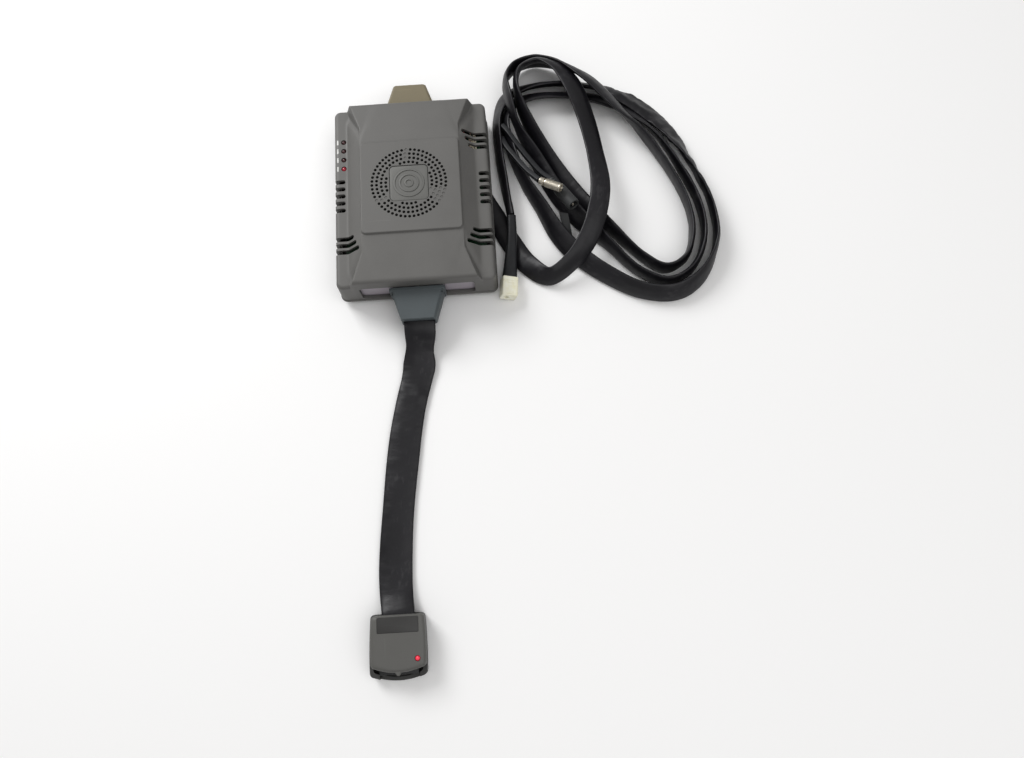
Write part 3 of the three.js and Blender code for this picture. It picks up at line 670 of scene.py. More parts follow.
# %% [markdown]
# ## Cords
# The sleeves are swept skins. A smooth curve passes through the route's points, which are the ones
# that the CAD tubes follow. At each step the flat section stands across the curve, and leans by an
# angle: 0 lies flat and 90 stands on edge. A flattened sleeve over wires is thin at its edges and
# fuller in the middle, and small creases are added as a smooth noise along and across it.

# %% A smooth curve
def smooth_curve(points, spacing):
    """A centripetal Catmull-Rom curve through rows of numbers, whose first three are a place."""
    points = np.asarray(points, float)
    before = 2 * points[0] - points[1]
    after = 2 * points[-1] - points[-2]
    padded = np.vstack([before, points, after])
    made = []
    for p0, p1, p2, p3 in zip(padded, padded[1:], padded[2:], padded[3:]):
        pairs = ((p0, p1), (p1, p2), (p2, p3))
        gaps = [max(np.linalg.norm((b - a)[:3]) ** 0.5, 1e-6) for a, b in pairs]
        t0, t1 = 0.0, gaps[0]
        t2, t3 = t1 + gaps[1], t1 + gaps[1] + gaps[2]
        steps = max(2, round(np.linalg.norm((p2 - p1)[:3]) / spacing))
        for t in np.linspace(t1, t2, steps, endpoint=False):
            a1 = (t1 - t) / (t1 - t0) * p0 + (t - t0) / (t1 - t0) * p1
            a2 = (t2 - t) / (t2 - t1) * p1 + (t - t1) / (t2 - t1) * p2
            a3 = (t3 - t) / (t3 - t2) * p2 + (t - t2) / (t3 - t2) * p3
            b1 = (t2 - t) / (t2 - t0) * a1 + (t - t0) / (t2 - t0) * a2
            b2 = (t3 - t) / (t3 - t1) * a2 + (t - t1) / (t3 - t1) * a3
            made.append((t2 - t) / (t2 - t1) * b1 + (t - t1) / (t2 - t1) * b2)
    made.append(points[-1])
    return np.array(made)


def lengths_along(curve):
    return np.concatenate([[0], np.cumsum(np.linalg.norm(np.diff(curve[:, :3], axis=0), axis=1))])


def unit(vectors):
    return vectors / np.linalg.norm(vectors, axis=1, keepdims=True)


# %% [markdown]
# The section is given by how far across each point lies, from -1 to 1, and a half thickness there.
# `strap` sweeps it, adds the creases, and lays the UV map.

# %% A flat sleeve along a curve
SECTION_POINTS = 30


def section(width, thick, fullness):
    """Across and up, in millimetres, of a flattened sleeve."""
    points = []
    for i in range(SECTION_POINTS):
        angle = 2 * math.pi * i / SECTION_POINTS
        side = math.copysign(abs(math.cos(angle)) ** 0.75, math.cos(angle))
        edge = math.sqrt(max(0, 1 - abs(side) ** 7))
        belly = math.exp(-((side / 0.66) ** 4)) - 0.16 * math.exp(-((side / 0.16) ** 2))
        up = math.copysign(thick / 2, math.sin(angle)) * edge * (1 - fullness + fullness * belly)
        if abs(math.sin(angle)) < 1e-9:
            up = 0.0
        points.append((side * width / 2, up))
    return np.array(points)


def strap(
    name, curve, across, width, thick, finish, crease=0.25, seed=0, widths=None, fullness=0.5
):
    """Sweeps the section along a curve; across is the direction of its width at each step."""
    place = curve[:, :3]
    along = lengths_along(curve)
    forward = unit(np.gradient(place, axis=0))
    across = unit(across - (across * forward).sum(1, keepdims=True) * forward)
    up = np.cross(forward, across)
    profile = section(width, thick, fullness)
    widths = np.ones(len(place)) if widths is None else widths
    crease = np.broadcast_to(crease, len(place))
    rings = []
    for i, centre in enumerate(place):
        sides, heights = profile[:, 0] * widths[i], profile[:, 1].copy()
        for j, side in enumerate(sides):
            sign = 1 if heights[j] >= 0 else -1
            wave = noise.noise((along[i] / 9 + seed, side / 7, sign * 3.1))
            small = noise.noise((along[i] / 3.2 + seed, side / 4, sign * 7.7))
            heights[j] += sign * crease[i] * (wave + 0.45 * small) * min(1, abs(heights[j]) / 0.6)
        rings.append(centre + np.outer(sides, across[i]) + np.outer(heights, up[i]))
    made = piece(name, *skin(rings), finish, sharp=75)
    lay_sleeve_map(made, along, profile)
    return made


def lay_sleeve_map(made, along, profile):
    """UV in metres: along the cord, and round its section."""
    round_it = np.concatenate([[0], np.cumsum(np.linalg.norm(np.diff(profile, axis=0), axis=1))])
    whole = round_it[-1] + np.linalg.norm(profile[0] - profile[-1])
    layer = made.data.uv_layers.new(name="UVMap")
    count = len(profile)
    for polygon in made.data.polygons:
        columns = [v % count for v in polygon.vertices]
        wraps = max(columns) - min(columns) > 1
        for loop, vertex, column in zip(polygon.loop_indices, polygon.vertices, columns):
            v = whole if wraps and column == 0 else round_it[column]
            layer.data[loop].uv = (along[vertex // count] * MM, v * MM)


def level_across(curve):
    """The level direction across a curve, to its left."""
    forward = np.gradient(curve[:, :3], axis=0)
    return unit(np.column_stack([-forward[:, 1], forward[:, 0], np.zeros(len(forward))]))


print("cord helpers ready")

# %% [markdown]
# ## The harness
# The harness leaves the rear hood, folds under the box, comes out on the right, makes one small
# loop and then goes three times round a long one. Each point has a fourth number, the lean of the
# flat sleeve in degrees: it lies flat under the box and stands on edge at the ends of the loops.
# Its first points are the fold behind the hood, where its width stays level.

# %% The harness's route
HARNESS_WIDTH = 13.5
HARNESS_THICK = 3.8
SPACING = 1.6
fold_route = [
    (0, 79.2, 14.5), (0, 83.8, 14.1), (0.2, 86.6, 11.6), (0.5, 87.7, 8.2), (1, 87.4, 5),
    (2, 85.9, 2.7),
]
harness_route = [
    (3.4, 83.2, 2.0, 0), (20, 53, 2.0, 0), (36, 21, 2.0, 0), (52, -10, 2.0, 0), (61, -29, 2.1, 5),
    (71, -46, 4.2, 22), (84, -56, 7.0, 50), (99, -48, 11, 45), (110, -35, 15, 25),
    (117, -19, 18.5, 15), (121, 0, 19, 12), (120, 28, 16, 25), (116, 54, 16, 20),
    (110, 74, 19, 15), (101, 92, 17, 35), (88, 101, 13, 60), (76, 96, 13.5, 65),
    (71.5, 80, 17.5, 85), (75, 61, 15, 72), (85.5, 38, 8.5, 60), (98, 13, 6.2, 40),
    (111, -7, 6.2, 40), (127, -26, 7.4, 75), (145, -47, 7.5, 88), (159, -56, 7.5, 85),
    (172, -50, 7.5, 88), (179, -32, 7.5, 88), (178, -11, 7.5, 88), (169, 15, 7.5, 88),
    (154, 42, 9.5, 85), (136, 61, 17, 45), (118, 83, 18, 45), (102, 98, 11, 80),
    (86, 104.6, 7.5, 90), (73, 100, 9, 90), (65, 86, 15, 85), (65.5, 71, 17.5, 75),
    (70.5, 52, 12, 85), (80.5, 31, 7.6, 60), (92.5, 5, 6.2, 40), (105, -14, 6.2, 40),
    (122, -34, 7.4, 75), (141, -56, 7.5, 88), (159, -65, 7.5, 85), (176, -57, 7.5, 88),
    (186, -37, 7.5, 88), (186, -13, 7.5, 88), (177, 14, 7.5, 85), (163, 43, 7.2, 65),
    (145, 63, 6.0, 35), (125, 73, 6.0, 35), (102, 77, 6.4, 45), (83, 77, 6.4, 45),
    (69, 72, 6.4, 40), (62.5, 60, 7, 60), (65, 38, 7.3, 70), (73, 12, 7.3, 70), (82, -6, 7, 60),
    (91, -25, 6.4, 45), (101, -39, 6, 35), (118, -55, 6.8, 50), (143, -70, 7.1, 60),
    (166, -72, 7.1, 55), (184, -60, 7.4, 65), (194, -38, 7.5, 88), (194, -13, 7.5, 85),
    (186, 14, 7.4, 70), (173, 43, 6.2, 40), (155, 65, 5.0, 25), (133, 79, 6.2, 40),
    (108, 85, 7, 60), (84, 85, 7, 55), (66, 79, 6.4, 40), (57.5, 61, 7.2, 65),
    (57, 37, 7.4, 70), (59.3, 10, 7.4, 66), (61.8, -12, 7.8, 60),
]
harness_points = np.array([(*p, 0) for p in fold_route] + harness_route)
harness_curve = smooth_curve(harness_points, SPACING)
harness_along = lengths_along(harness_curve)
harness_length = harness_along[-1]
print("harness length", round(harness_length), "mm in", len(harness_curve), "steps")

# %% [markdown]
# The sleeve is wider and crumpled where it was folded, in the outer strand of the long loop, and it
# narrows at its end. `hump` gives a smooth bump round one place along the cord.

# %% The harness's sleeve
def hump(along, middle, half):
    return np.exp(-(((along - middle) / half) ** 2))


def lean_direction(curve, start_level):
    """Level across the curve, then leant by its fourth number; level to X before start_level."""
    level = level_across(curve)
    share = np.clip((lengths_along(curve) - start_level) / 14, 0, 1)[:, None]
    level = unit((1 - share) * np.array([1.0, 0, 0]) + share * level)
    lean = np.radians(curve[:, 3])[:, None]
    return np.cos(lean) * level + np.sin(lean) * np.array([0, 0, 1.0])


def nearest_along(curve, point):
    gaps = np.linalg.norm(curve[:, :3] - np.array(point, float), axis=1)
    return lengths_along(curve)[int(np.argmin(gaps))]


crumpled = nearest_along(harness_curve, (173, 43, 6.2))
folded = nearest_along(harness_curve, (140, 75, 6))
harness_crease = (
    0.22
    + 1.1 * hump(harness_along, crumpled, 42)
    + 1.1 * hump(harness_along, folded, 16)
    + 0.3 * hump(harness_along, 30, 14)
)
harness_widths = 1 + 0.22 * hump(harness_along, crumpled, 45) + np.array(
    [0.035 * noise.noise((a / 26, 4.2, 0)) for a in harness_along]
)
harness_widths = harness_widths * (1 - 0.42 * hump(harness_along, harness_length, 26))
harness = strap(
    "harness_sleeve_skin", harness_curve, lean_direction(harness_curve, 18),
    HARNESS_WIDTH, HARNESS_THICK, sleeve_black, harness_crease, 3, harness_widths, 0.42,
)
print("harness faces", len(harness.data.polygons))

# %% [markdown]
# ## The pod's lead
# This sleeve is wider, and it lies flat all the way. It narrows at a kink just past the hood, where
# it drops to the table, and it has one scuffed crease further on.

# %% The pod's lead
POD_LEAD_WIDTH = 19.4
pod_lead_route = [
    (0, -81.3, 14.5), (0, -88, 13.2), (-0.6, -94, 9), (-1.6, -101, 5.2), (-2.4, -109, 3.1),
    (-4.4, -118, 2.4), (-8, -131, 2.3), (-11.8, -149, 2.3), (-14.7, -168, 2.3),
    (-17.7, -192, 2.3), (-20, -216, 2.3), (-21, -236, 2.5), (-20.6, -247, 4),
    (-19.7, -255.6, 6.6), (-19.5, -259.2, 7),
]
pod_lead_curve = smooth_curve(pod_lead_route, SPACING)
pod_lead_along = lengths_along(pod_lead_curve)
kink = nearest_along(pod_lead_curve, (-1, -98, 7))
bump = nearest_along(pod_lead_curve, (-2.4, -109, 3.1))
scuff = nearest_along(pod_lead_curve, (-7.5, -130, 2.3))
pod_lead_crease = (
    0.16
    + 0.55 * hump(pod_lead_along, kink, 7)
    + 0.5 * hump(pod_lead_along, scuff, 5)
    + 0.3 * hump(pod_lead_along, pod_lead_along[-1] - 22, 14)
)
pod_lead_widths = (
    1
    - 0.11 * hump(pod_lead_along, kink, 6)
    + 0.05 * hump(pod_lead_along, bump, 5)
    + 0.02 * np.sin(pod_lead_along / 11)
)
pod_lead = strap(
    "pod_lead_skin", pod_lead_curve, -level_across(pod_lead_curve), POD_LEAD_WIDTH, 3.0,
    sleeve_black, pod_lead_crease, 11, pod_lead_widths, 0.3,
)
print("pod lead length", round(pod_lead_along[-1]), "mm")

# %% [markdown]
# ## The three short leads
# At its end the harness splits. One lead is a shrunk sleeve that widens towards the ivory
# connector. The other two are round and come out between the strands, to the power plug and the
# power jack.

# %% The three short leads
WHITE_LEAD_WIDTH = 7.4
ROUND_LEAD = 3.6
white_route = [(62.2, -12.6, 8.3), (61.8, -24, 7.6), (60.4, -38, 6.7), (58.2, -54.8, 5.7)]
plug_route = [
    (59.8, 44, 10), (62, 36, 13.4), (67, 27, 15), (74, 15, 18), (81.4, 5.6, 20.4),
]
jack_route = [
    (60.6, 53, 11), (64, 47, 12.6), (69, 38, 12.6), (77, 25, 12.4), (84, 15, 12.4),
    (89.6, 9.7, 12.9),
]


def short_lead(name, route, width, thick, fullness, widths=None):
    curve = smooth_curve(route, 0.8)
    along = lengths_along(curve)
    shape = None if widths is None else widths(along / along[-1])
    made = strap(
        name, curve, level_across(curve), width, thick, lead_black, 0.06, 5, shape, fullness
    )
    return made, curve


white_lead, white_curve = short_lead(
    "white_lead_skin", white_route, WHITE_LEAD_WIDTH, 5.0, 0.15, lambda t: 0.8 + 0.5 * t ** 1.6
)
plug_lead, plug_curve = short_lead("plug_lead_skin", plug_route, ROUND_LEAD, ROUND_LEAD, 0.0)
jack_lead, jack_curve = short_lead("jack_lead_skin", jack_route, ROUND_LEAD, ROUND_LEAD, 0.0)
for name, curve in (("white", white_curve), ("plug", plug_curve), ("jack", jack_curve)):
    print(name, "lead", round(lengths_along(curve)[-1]), "mm")

# %% [markdown]
# ## The upper shell
# The upper shell is one moulding: flat wings down both sides, a raised ridge with a square plateau
# in its middle, and a bonnet at each end that flares towards the edge. Its height is a formula of
# X and Y, with smooth minima and maxima that round each crease. A grid of lines, close together
# where the surface bends, carries that height. Its border is bent to round corners, and the rim is
# a quarter round. The hollow is the same form, smaller and coarser, cut out of the first.

# %% The shell's form
WALL = 2.0
SPLIT_Z = 6.0
WING_Z = 25.0
PLATEAU_Z = 35.5
PLATEAU_HALF = 31.6
SLOPE_FOOT = 41.0
CORNER = 4.0
RIM = 2.2
EDGE_LINES = (2.0, 1.3, 0.7, 0.3, 0.08, 0.0)


def smooth_min(a, b, width=0.7):
    share = np.clip(0.5 + 0.5 * (b - a) / width, 0, 1)
    return b + (a - b) * share - width * share * (1 - share)


def smooth_max(a, b, width=0.7):
    return -smooth_min(-a, -b, width)


def shell_height(x, y):
    x, y = np.abs(x), np.abs(y)
    side = 34 - 0.93 * (x - PLATEAU_HALF)
    facet = 34 - 0.451 * (x - PLATEAU_HALF) - 0.2327 * (y - 33)
    ramp = 34 - 2.5 * np.clip((y - PLATEAU_HALF) / 30.4, 0, 1)
    shoulder = smooth_min(smooth_min(side, facet), ramp)
    flare = 31.7 + np.maximum(0, y - 43) * 6.8 / 19
    bonnet = smooth_min(ramp, ramp - 2.5 * (x - flare))
    low = smooth_max(smooth_max(shoulder, bonnet), WING_Z, 0.8)
    out_x, out_y = x - (PLATEAU_HALF - 3), y - (PLATEAU_HALF - 3)
    outside = np.hypot(np.maximum(out_x, 0), np.maximum(out_y, 0)) - 3
    outside = outside + np.minimum(np.maximum(out_x, out_y), 0)
    plateau = PLATEAU_Z - 2.6 * np.maximum(0, outside + 0.45)
    return smooth_max(low, smooth_min(plateau, PLATEAU_Z, 0.2), 0.12)


def mirrored(lines):
    lines = np.array(lines)
    return np.concatenate([-lines[::-1][lines[::-1] > 0], lines])


def spans(*pieces):
    """Lines over several spans: (start, step) pairs and a last end."""
    lines = []
    for (start, step), (end, _) in zip(pieces, pieces[1:]):
        lines += list(np.linspace(start, end, max(1, round((end - start) / step)), endpoint=False))
    return lines


def height_solid(name, lines_x, lines_y, half, drop, floor_z, draft, finish):
    """A closed solid under the shell's height, with bent corners, a round rim and drafted walls."""
    half_x, half_y = half
    grid_x, grid_y = np.meshgrid(mirrored(lines_x), mirrored(lines_y), indexing="ij")
    in_x = np.clip((np.abs(grid_x) - half_x + CORNER) / CORNER, 0, 1)
    in_y = np.clip((np.abs(grid_y) - half_y + CORNER) / CORNER, 0, 1)
    bent_x, bent_y = in_x * np.sqrt(1 - in_y ** 2 / 2), in_y * np.sqrt(1 - in_x ** 2 / 2)
    cornered = (in_x > 0) & (in_y > 0)
    x = np.where(cornered, np.sign(grid_x) * (half_x - CORNER + CORNER * bent_x), grid_x)
    y = np.where(cornered, np.sign(grid_y) * (half_y - CORNER + CORNER * bent_y), grid_y)
    border = np.minimum(half_x - np.abs(x), half_y - np.abs(y))
    border = np.where(cornered, CORNER * (1 - np.hypot(bent_x, bent_y)), border)
    inward = np.clip(RIM - border, 0, RIM)
    z = shell_height(x, y) - drop - (RIM - np.sqrt(RIM ** 2 - inward ** 2))
    nx, ny = grid_x.shape
    top = np.column_stack([x.ravel(), y.ravel(), z.ravel()])
    number = np.arange(nx * ny).reshape(nx, ny)
    faces = [
        (number[i, j], number[i + 1, j], number[i + 1, j + 1], number[i, j + 1])
        for i in range(nx - 1) for j in range(ny - 1)
    ]
    around = [*number[:-1, 0], *number[-1, :-1], *number[:0:-1, -1], *number[0, :0:-1]]
    foot = top[around] * np.array([(half_x + draft) / half_x, (half_y + draft) / half_y, 0])
    foot[:, 2] = floor_z
    count = len(around)
    low = range(nx * ny, nx * ny + count)
    for i in range(count):
        following = (i + 1) % count
        faces.append((around[i], around[following], low[following], low[i]))
    faces.append(tuple(low))
    faces = [tuple(int(v) for v in face) for face in faces]
    return piece(name, np.vstack([top, foot]), faces, finish, sharp=40)


HALF_TOP = (49.6, 62.6)
edge_x = [HALF_TOP[0] - e for e in EDGE_LINES]
edge_y = [HALF_TOP[1] - e for e in EDGE_LINES]
fine_x = spans((0, 2.5), (28, 0.3), (33, 0.45), (42, 1.0), (edge_x[0], 0)) + edge_x
fine_y = spans((0, 2.0), (28, 0.3), (33, 0.5), (edge_y[0], 0)) + edge_y
top_shell = height_solid(
    "top_shell_skin", fine_x, fine_y, HALF_TOP, 0.0, SPLIT_Z + 0.3, 0.4, box_plastic
)
inside = (HALF_TOP[0] - WALL, HALF_TOP[1] - WALL)
coarse_edges = np.array(EDGE_LINES[::2])
coarse_x = spans((0, 7), (28, 1.3), (43, 2), (inside[0] - 2, 0)) + list(inside[0] - coarse_edges)
coarse_y = spans((0, 7), (28, 2.0), (inside[1] - 2, 0)) + list(inside[1] - coarse_edges)
hollow = height_solid("hollow", coarse_x, coarse_y, inside, WALL, SPLIT_Z - 1, 0.3, box_plastic)
carve(top_shell, hollow, sharp=40)
print("upper shell:", len(top_shell.data.polygons), "faces")

# %% [markdown]
# The shell is then pierced: a window in each end for the plugs, slots down both sides, four lamp
# holes, a seat for the badge, and rings of small holes round it. The slots and the lamp holes come
# from the grid tree. The trios of slots step inwards from one to the next, up the slope.

# %% Windows, slots and lamp holes
SLOT = 2.8
MIDDLE_PITCH = 5.0
TRIO_PITCH = 4.4
TRIO_START = 29.6
GRILLE_CENTRE = (-0.9, 1.4)


def window(side):
    outline = rounded(72, 15.5, 2.5, (0, 14.75))
    deep = [facing(outline, side * y) for y in (63 - WALL - 2, 63 + 2)]
    return piece("window", *skin(deep), box_plastic)


def slot_cutter():
    """One slot, from the origin along +X, with half-round inner end."""
    outline = rounded(24, SLOT, SLOT * 0.45, (12, 0), steps=3)
    return piece("slot", *skin([upright(outline, 14), upright(outline, 40)]), box_plastic)


def slots(side, first_y, pitch, inward, inner, count):
    """A row of slots; side is -1 or 1, and inward is how far each starts beyond the last."""
    cutter = slot_cutter()
    if side < 0:
        placed(cutter, Matrix.Rotation(math.pi, 4, "Z"))
    return grid_of(
        cutter, (side * inner, first_y, 0), across=(-side * inward, pitch, 0), columns=count
    )


cutters = [window(-1), window(1)]
for side in (-1, 1):
    cutters.append(slots(side, 0.5 - 2 * MIDDLE_PITCH, MIDDLE_PITCH, 0, SLOPE_FOOT + 1.8, 5))
    cutters.append(slots(side, -TRIO_START, -TRIO_PITCH, 1.9, 37.2, 3))
cutters.append(slots(1, TRIO_START, TRIO_PITCH, 1.9, 37.2, 3))
lamp_hole = rod("lamp_hole", 1.7, 18, 30, box_plastic, sides=20)
cutters.append(grid_of(lamp_hole, (LAMP_X, LAMP_START, 0), along=(0, LAMP_PITCH, 0), rows=4))
badge_seat = slab(
    "badge_seat", 24.5, 24.5, 3, PLATEAU_Z - 1.4, PLATEAU_Z + 1, box_plastic, 0.05, GRILLE_CENTRE
)
cutters.append(badge_seat)
carve(top_shell, *cutters, sharp=40)
print("pierced with", len(cutters), "sets of cutters")

# %% [markdown]
# ## Rings of holes
# The holes round the badge are four staggered rings, evenly spaced. A second tree puts copies on
# the points of a circle and drops those that would fall under the badge. The drill stopped short
# in three sectors, so the tree keeps either the points inside those sectors or the ones outside
# them, and it is used once for the blind holes and once for the rest.

# %% A ring of copies
BLIND_SECTORS = ((90.5, 97.5), (207.5, 214.5), (321, 346.5))


def ring_tree():
    tree = GeometryTree(
        "ring_of_copies", Count="Int", Radius="Float", Turn="Float", Clear="Float",
        Blind="Bool", Material="Material",
    )
    count = tree.given("Count")
    circle = tree.node("GeometryNodeMeshLine", {"Count": count, "Offset": (0, 0, 0)})
    index = tree.node("GeometryNodeInputIndex")
    angle = (index + tree.given("Turn")) * (2 * math.pi) / count
    x = tree.given("Radius") * angle.maths("COSINE", angle)
    y = tree.given("Radius") * angle.maths("SINE", angle)
    place = tree.node("ShaderNodeCombineXYZ", {"X": x, "Y": y, "Z": 0.0})
    spread = tree.node("GeometryNodeSetPosition", {"Geometry": circle, "Position": place})
    inside = 0.0
    for start, end in BLIND_SECTORS:
        after = angle.maths("GREATER_THAN", angle, math.radians(start))
        before = angle.maths("LESS_THAN", angle, math.radians(end))
        inside = after * before + inside
    right_kind = angle.maths("COMPARE", inside, tree.given("Blind"), 0.5)
    far = x.maths("MAXIMUM", x.maths("ABSOLUTE", x), y.maths("ABSOLUTE", y))
    covered = far.maths("LESS_THAN", far, tree.given("Clear"))
    drop = covered.maths("MAXIMUM", covered, 1 - right_kind)
    kept = tree.node("GeometryNodeDeleteGeometry", {"Geometry": spread, "Selection": drop})
    inputs = {"Points": kept, "Instance": tree.given("Geometry")}
    return tree.close(tree.node("GeometryNodeInstanceOnPoints", inputs))


copies_on_ring = ring_tree()
RINGS = 4
RING_RADIUS = 23.2
RING_STEP = 2.9
HOLE_PITCH = 2.75
HOLE_RADIUS = 0.92
BADGE_CLEAR = 13.1

drills = []
for ring in range(RINGS):
    radius = RING_RADIUS - ring * RING_STEP
    for blind in (False, True):
        depth = 0.3 if blind else 4.5
        drill = rod("drill", HOLE_RADIUS, PLATEAU_Z - depth, PLATEAU_Z + 1, box_plastic, sides=14)
        copies_on_ring.use(
            drill, Count=round(2 * math.pi * radius / HOLE_PITCH), Radius=radius * MM,
            Turn=0.65 + 0.5 * (ring % 2), Clear=BADGE_CLEAR * MM if ring == RINGS - 1 else 0.0,
            Blind=blind, Material=box_plastic,
        )
        drills.append(placed(drill, shift(*GRILLE_CENTRE, 0)))
print("holes:", sum(len(d.data.polygons) for d in drills) // 16)
carve(top_shell, *drills, sharp=40)
hand_in(top_shell, "box", "box_plastic", "top_shell")

# %% [markdown]
# The badge is a plain square plate with three raised rings. The lower shell is a tray whose skirt
# stands out a little past the upper one, and the seam between them is a dark line.

# %% Badge and lower shell
BADGE_TOP = PLATEAU_Z - 0.3
badge = slab("badge_skin", 24.0, 24.0, 2.7, PLATEAU_Z - 1.1, BADGE_TOP, badge_plastic, 0.25)
for radius in (9.8, 6.4, 3.0):
    raised = rod("raised", radius, BADGE_TOP - 0.4, BADGE_TOP + 0.35, badge_plastic, 56, edge=0.15)
    middle = rod("middle", radius - 1.1, BADGE_TOP - 0.01, BADGE_TOP + 2, badge_plastic, 56)
    carve(raised, middle)
    carve(badge, raised, operation="UNION")
hand_in(placed(badge, shift(*GRILLE_CENTRE, 0)), "box", "badge_plastic", "grille_badge")

FOOT_CORNER = (41, 47)
CASE_SCREW_CORNER = (43, 56)
BOARD_SCREW_CORNER = (33, 50)


def at_corners(made, corner, z=0.0):
    """Four copies, at plus and minus corner."""
    x, y = corner
    return grid_of(made, (-x, -y, z), across=(2 * x, 0, 0), along=(0, 2 * y, 0), columns=2, rows=2)


tray = slab("bottom_shell_skin", 101.2, 127.2, 4.6, 4.0, SPLIT_Z, box_plastic, edge=0.7)
foot_seat = rod("foot_seat", 5.9, 3, 4.6, box_plastic, sides=40)
screw_well = rod("screw_well", 3.0, 2, 5.2, box_plastic, sides=32)
carve(tray, at_corners(foot_seat, FOOT_CORNER), at_corners(screw_well, CASE_SCREW_CORNER))
screw_boss = rod("screw_boss", 3.2, SPLIT_Z - 0.2, 11.7, box_plastic, sides=20)
carve(tray, at_corners(screw_boss, CASE_SCREW_CORNER), operation="UNION")
hand_in(tray, "box", "box_plastic", "bottom_shell")

# %% [markdown]
# ## Feet, screws, lamps and parts on the board
# The feet and the screws are made once each and copied by the grid tree. A screw has a domed head
# with a cross recess. The lamps stand in their holes, one of them lit.

# %% Feet and screws
foot = rod("feet_skin", 5.5, 0.0, 4.3, foot_rubber, sides=48, edge=0.9)
dimple = rod("dimple", 2.4, -1, 0.5, foot_rubber, sides=32)
carve(foot, dimple)
at_corners(foot, FOOT_CORNER)
hand_in(foot, "box", "rubber_foot", *[f"foot_{i}" for i in range(1, 5)])


def pan_screw(name, radius, shank, length, sign):
    """A screw with its head at the origin, facing up for sign 1 and down for -1."""
    dome = [(radius * math.cos(a), 0.35 + 1.05 * math.sin(a)) for a in np.linspace(0, 1.45, 7)]
    profile = [(shank, -length), (shank, -0.02), (radius, 0), *dome]
    made = turned(name, profile, (0, 0, 0), (0, 0, sign), zinc_steel, sides=36)
    for x, y in ((radius * 0.55, 0.28), (0.28, radius * 0.55)):
        points = [(sx * x, sy * y) for sx, sy in ((1, 1), (-1, 1), (-1, -1), (1, -1))]
        levels = sorted((sign * 0.75, sign * 3))
        bar_rings = [upright(np.array(points), z) for z in levels]
        carve(made, piece("bar", *skin(bar_rings), zinc_steel))
    return made


board_screws = pan_screw("board_screws_skin", 2.6, 0.9, 4.6, 1)
at_corners(board_screws, BOARD_SCREW_CORNER, 14.0)
hand_in(board_screws, "box", "zinc_steel", *[f"board_screw_{i}" for i in range(1, 5)])
case_screws = pan_screw("case_screws_skin", 2.7, 1.2, 12.6, -1)
at_corners(case_screws, CASE_SCREW_CORNER, 4.9)
hand_in(case_screws, "box", "zinc_steel", *[f"case_screw_{i}" for i in range(1, 5)])


# %% Lamps
def lamp_body(name, z0, z1, finish, place):
    """A lamp with a domed top at z1."""
    dome = [(1.4 * math.cos(a), z1 - 1.4 + 1.4 * math.sin(a)) for a in np.linspace(0, 1.5, 9)]
    return turned(name, [(1.4, z0), *dome], (*place, 0), (*place, 1), finish, sides=28)


lit = lamp_body("status_led_lit", 13.9, 25.6, dim_lamp, (LAMP_X, LAMP_START))
hand_in(lit, "box", "lit_lamp", "status_led_1")
dark = lamp_body("status_led_dark", 13.9, 25.5, dark_lamp, (0, 0))
grid_of(dark, (LAMP_X, LAMP_START + LAMP_PITCH, 0), along=(0, LAMP_PITCH, 0), rows=3)
hand_in(dark, "box", "dark_lamp", *[f"status_led_{i}" for i in range(2, 5)])

# %% [markdown]
# The remaining pieces inside the box are seen only through the slots and the windows. They keep
# their CAD shape and take the finishes of this script, except the red capacitor, whose round edge
# shows through a slot.

# %% Parts on the board
red_capacitor = slab(
    "red_capacitor_skin", 4, 11, 1.4, 13.9, 24.9, red_epoxy, edge=0.8, centre=(33.5, 36.5)
)
hand_in(red_capacitor, "box", "red_epoxy", "red_capacitor")
kept = {
    "front_panel": panel_plastic, "rear_panel": panel_plastic, "front_socket": zinc_steel,
    "rear_socket": zinc_steel, "main_board": circuit_board, "processor_chip": black_plastic,
    "heat_sink": heat_sink_metal, "memory_chip": black_plastic, "front_capacitor": black_plastic,
    "rear_capacitor": black_plastic, "pin_header": ivory_nylon, "crystal_can": nickel,
    "front_plug_shell": nickel, "rear_plug_shell": nickel, "pod_board": circuit_board,
}
for node, finish in kept.items():
    mesh = bpy.data.objects[node].data
    for index in range(len(mesh.materials)):
        mesh.materials[index] = finish
print("kept CAD pieces with new finishes:", len(kept))

# %% [markdown]
# ## Hoods
# Each plug has a hood of two halves round a flat D-shell. A thin collar stands against the box, and
# from it the hood tapers to a mouth where the lead comes out. The top is flat and its long edges
# are chamfered. Both hoods are the same form. The rear one is shorter, tapers less in height, and
# is turned round.

# %% Hoods
PLUG_Z = 14.5
HOOD_BASE_Y = -64.8
HOOD_BASE = (16.4, 7.6)
HOOD_MOUTH_HALF = 10.8
HOOD_WALL = 0.9
COLLAR = (34.8, 15.6)


def octagon(half_x, half_z, chamfer):
    """A rectangle in X and Z with flat chamfers, centred on the plug's axis."""
    x, z = half_x - chamfer, half_z - chamfer
    corners = [(half_x, z), (x, half_z), (-x, half_z), (-half_x, z),
               (-half_x, -z), (-x, -half_z), (x, -half_z), (half_x, -z)]
    softened = []
    for i, here in enumerate(np.array(corners)):
        for other in (corners[i - 1], corners[(i + 1) % 8]):
            reach = 0.22 / math.dist(here, other)
            softened.append(here + (other - here) * reach)
    return np.array(softened) + (0, PLUG_Z)


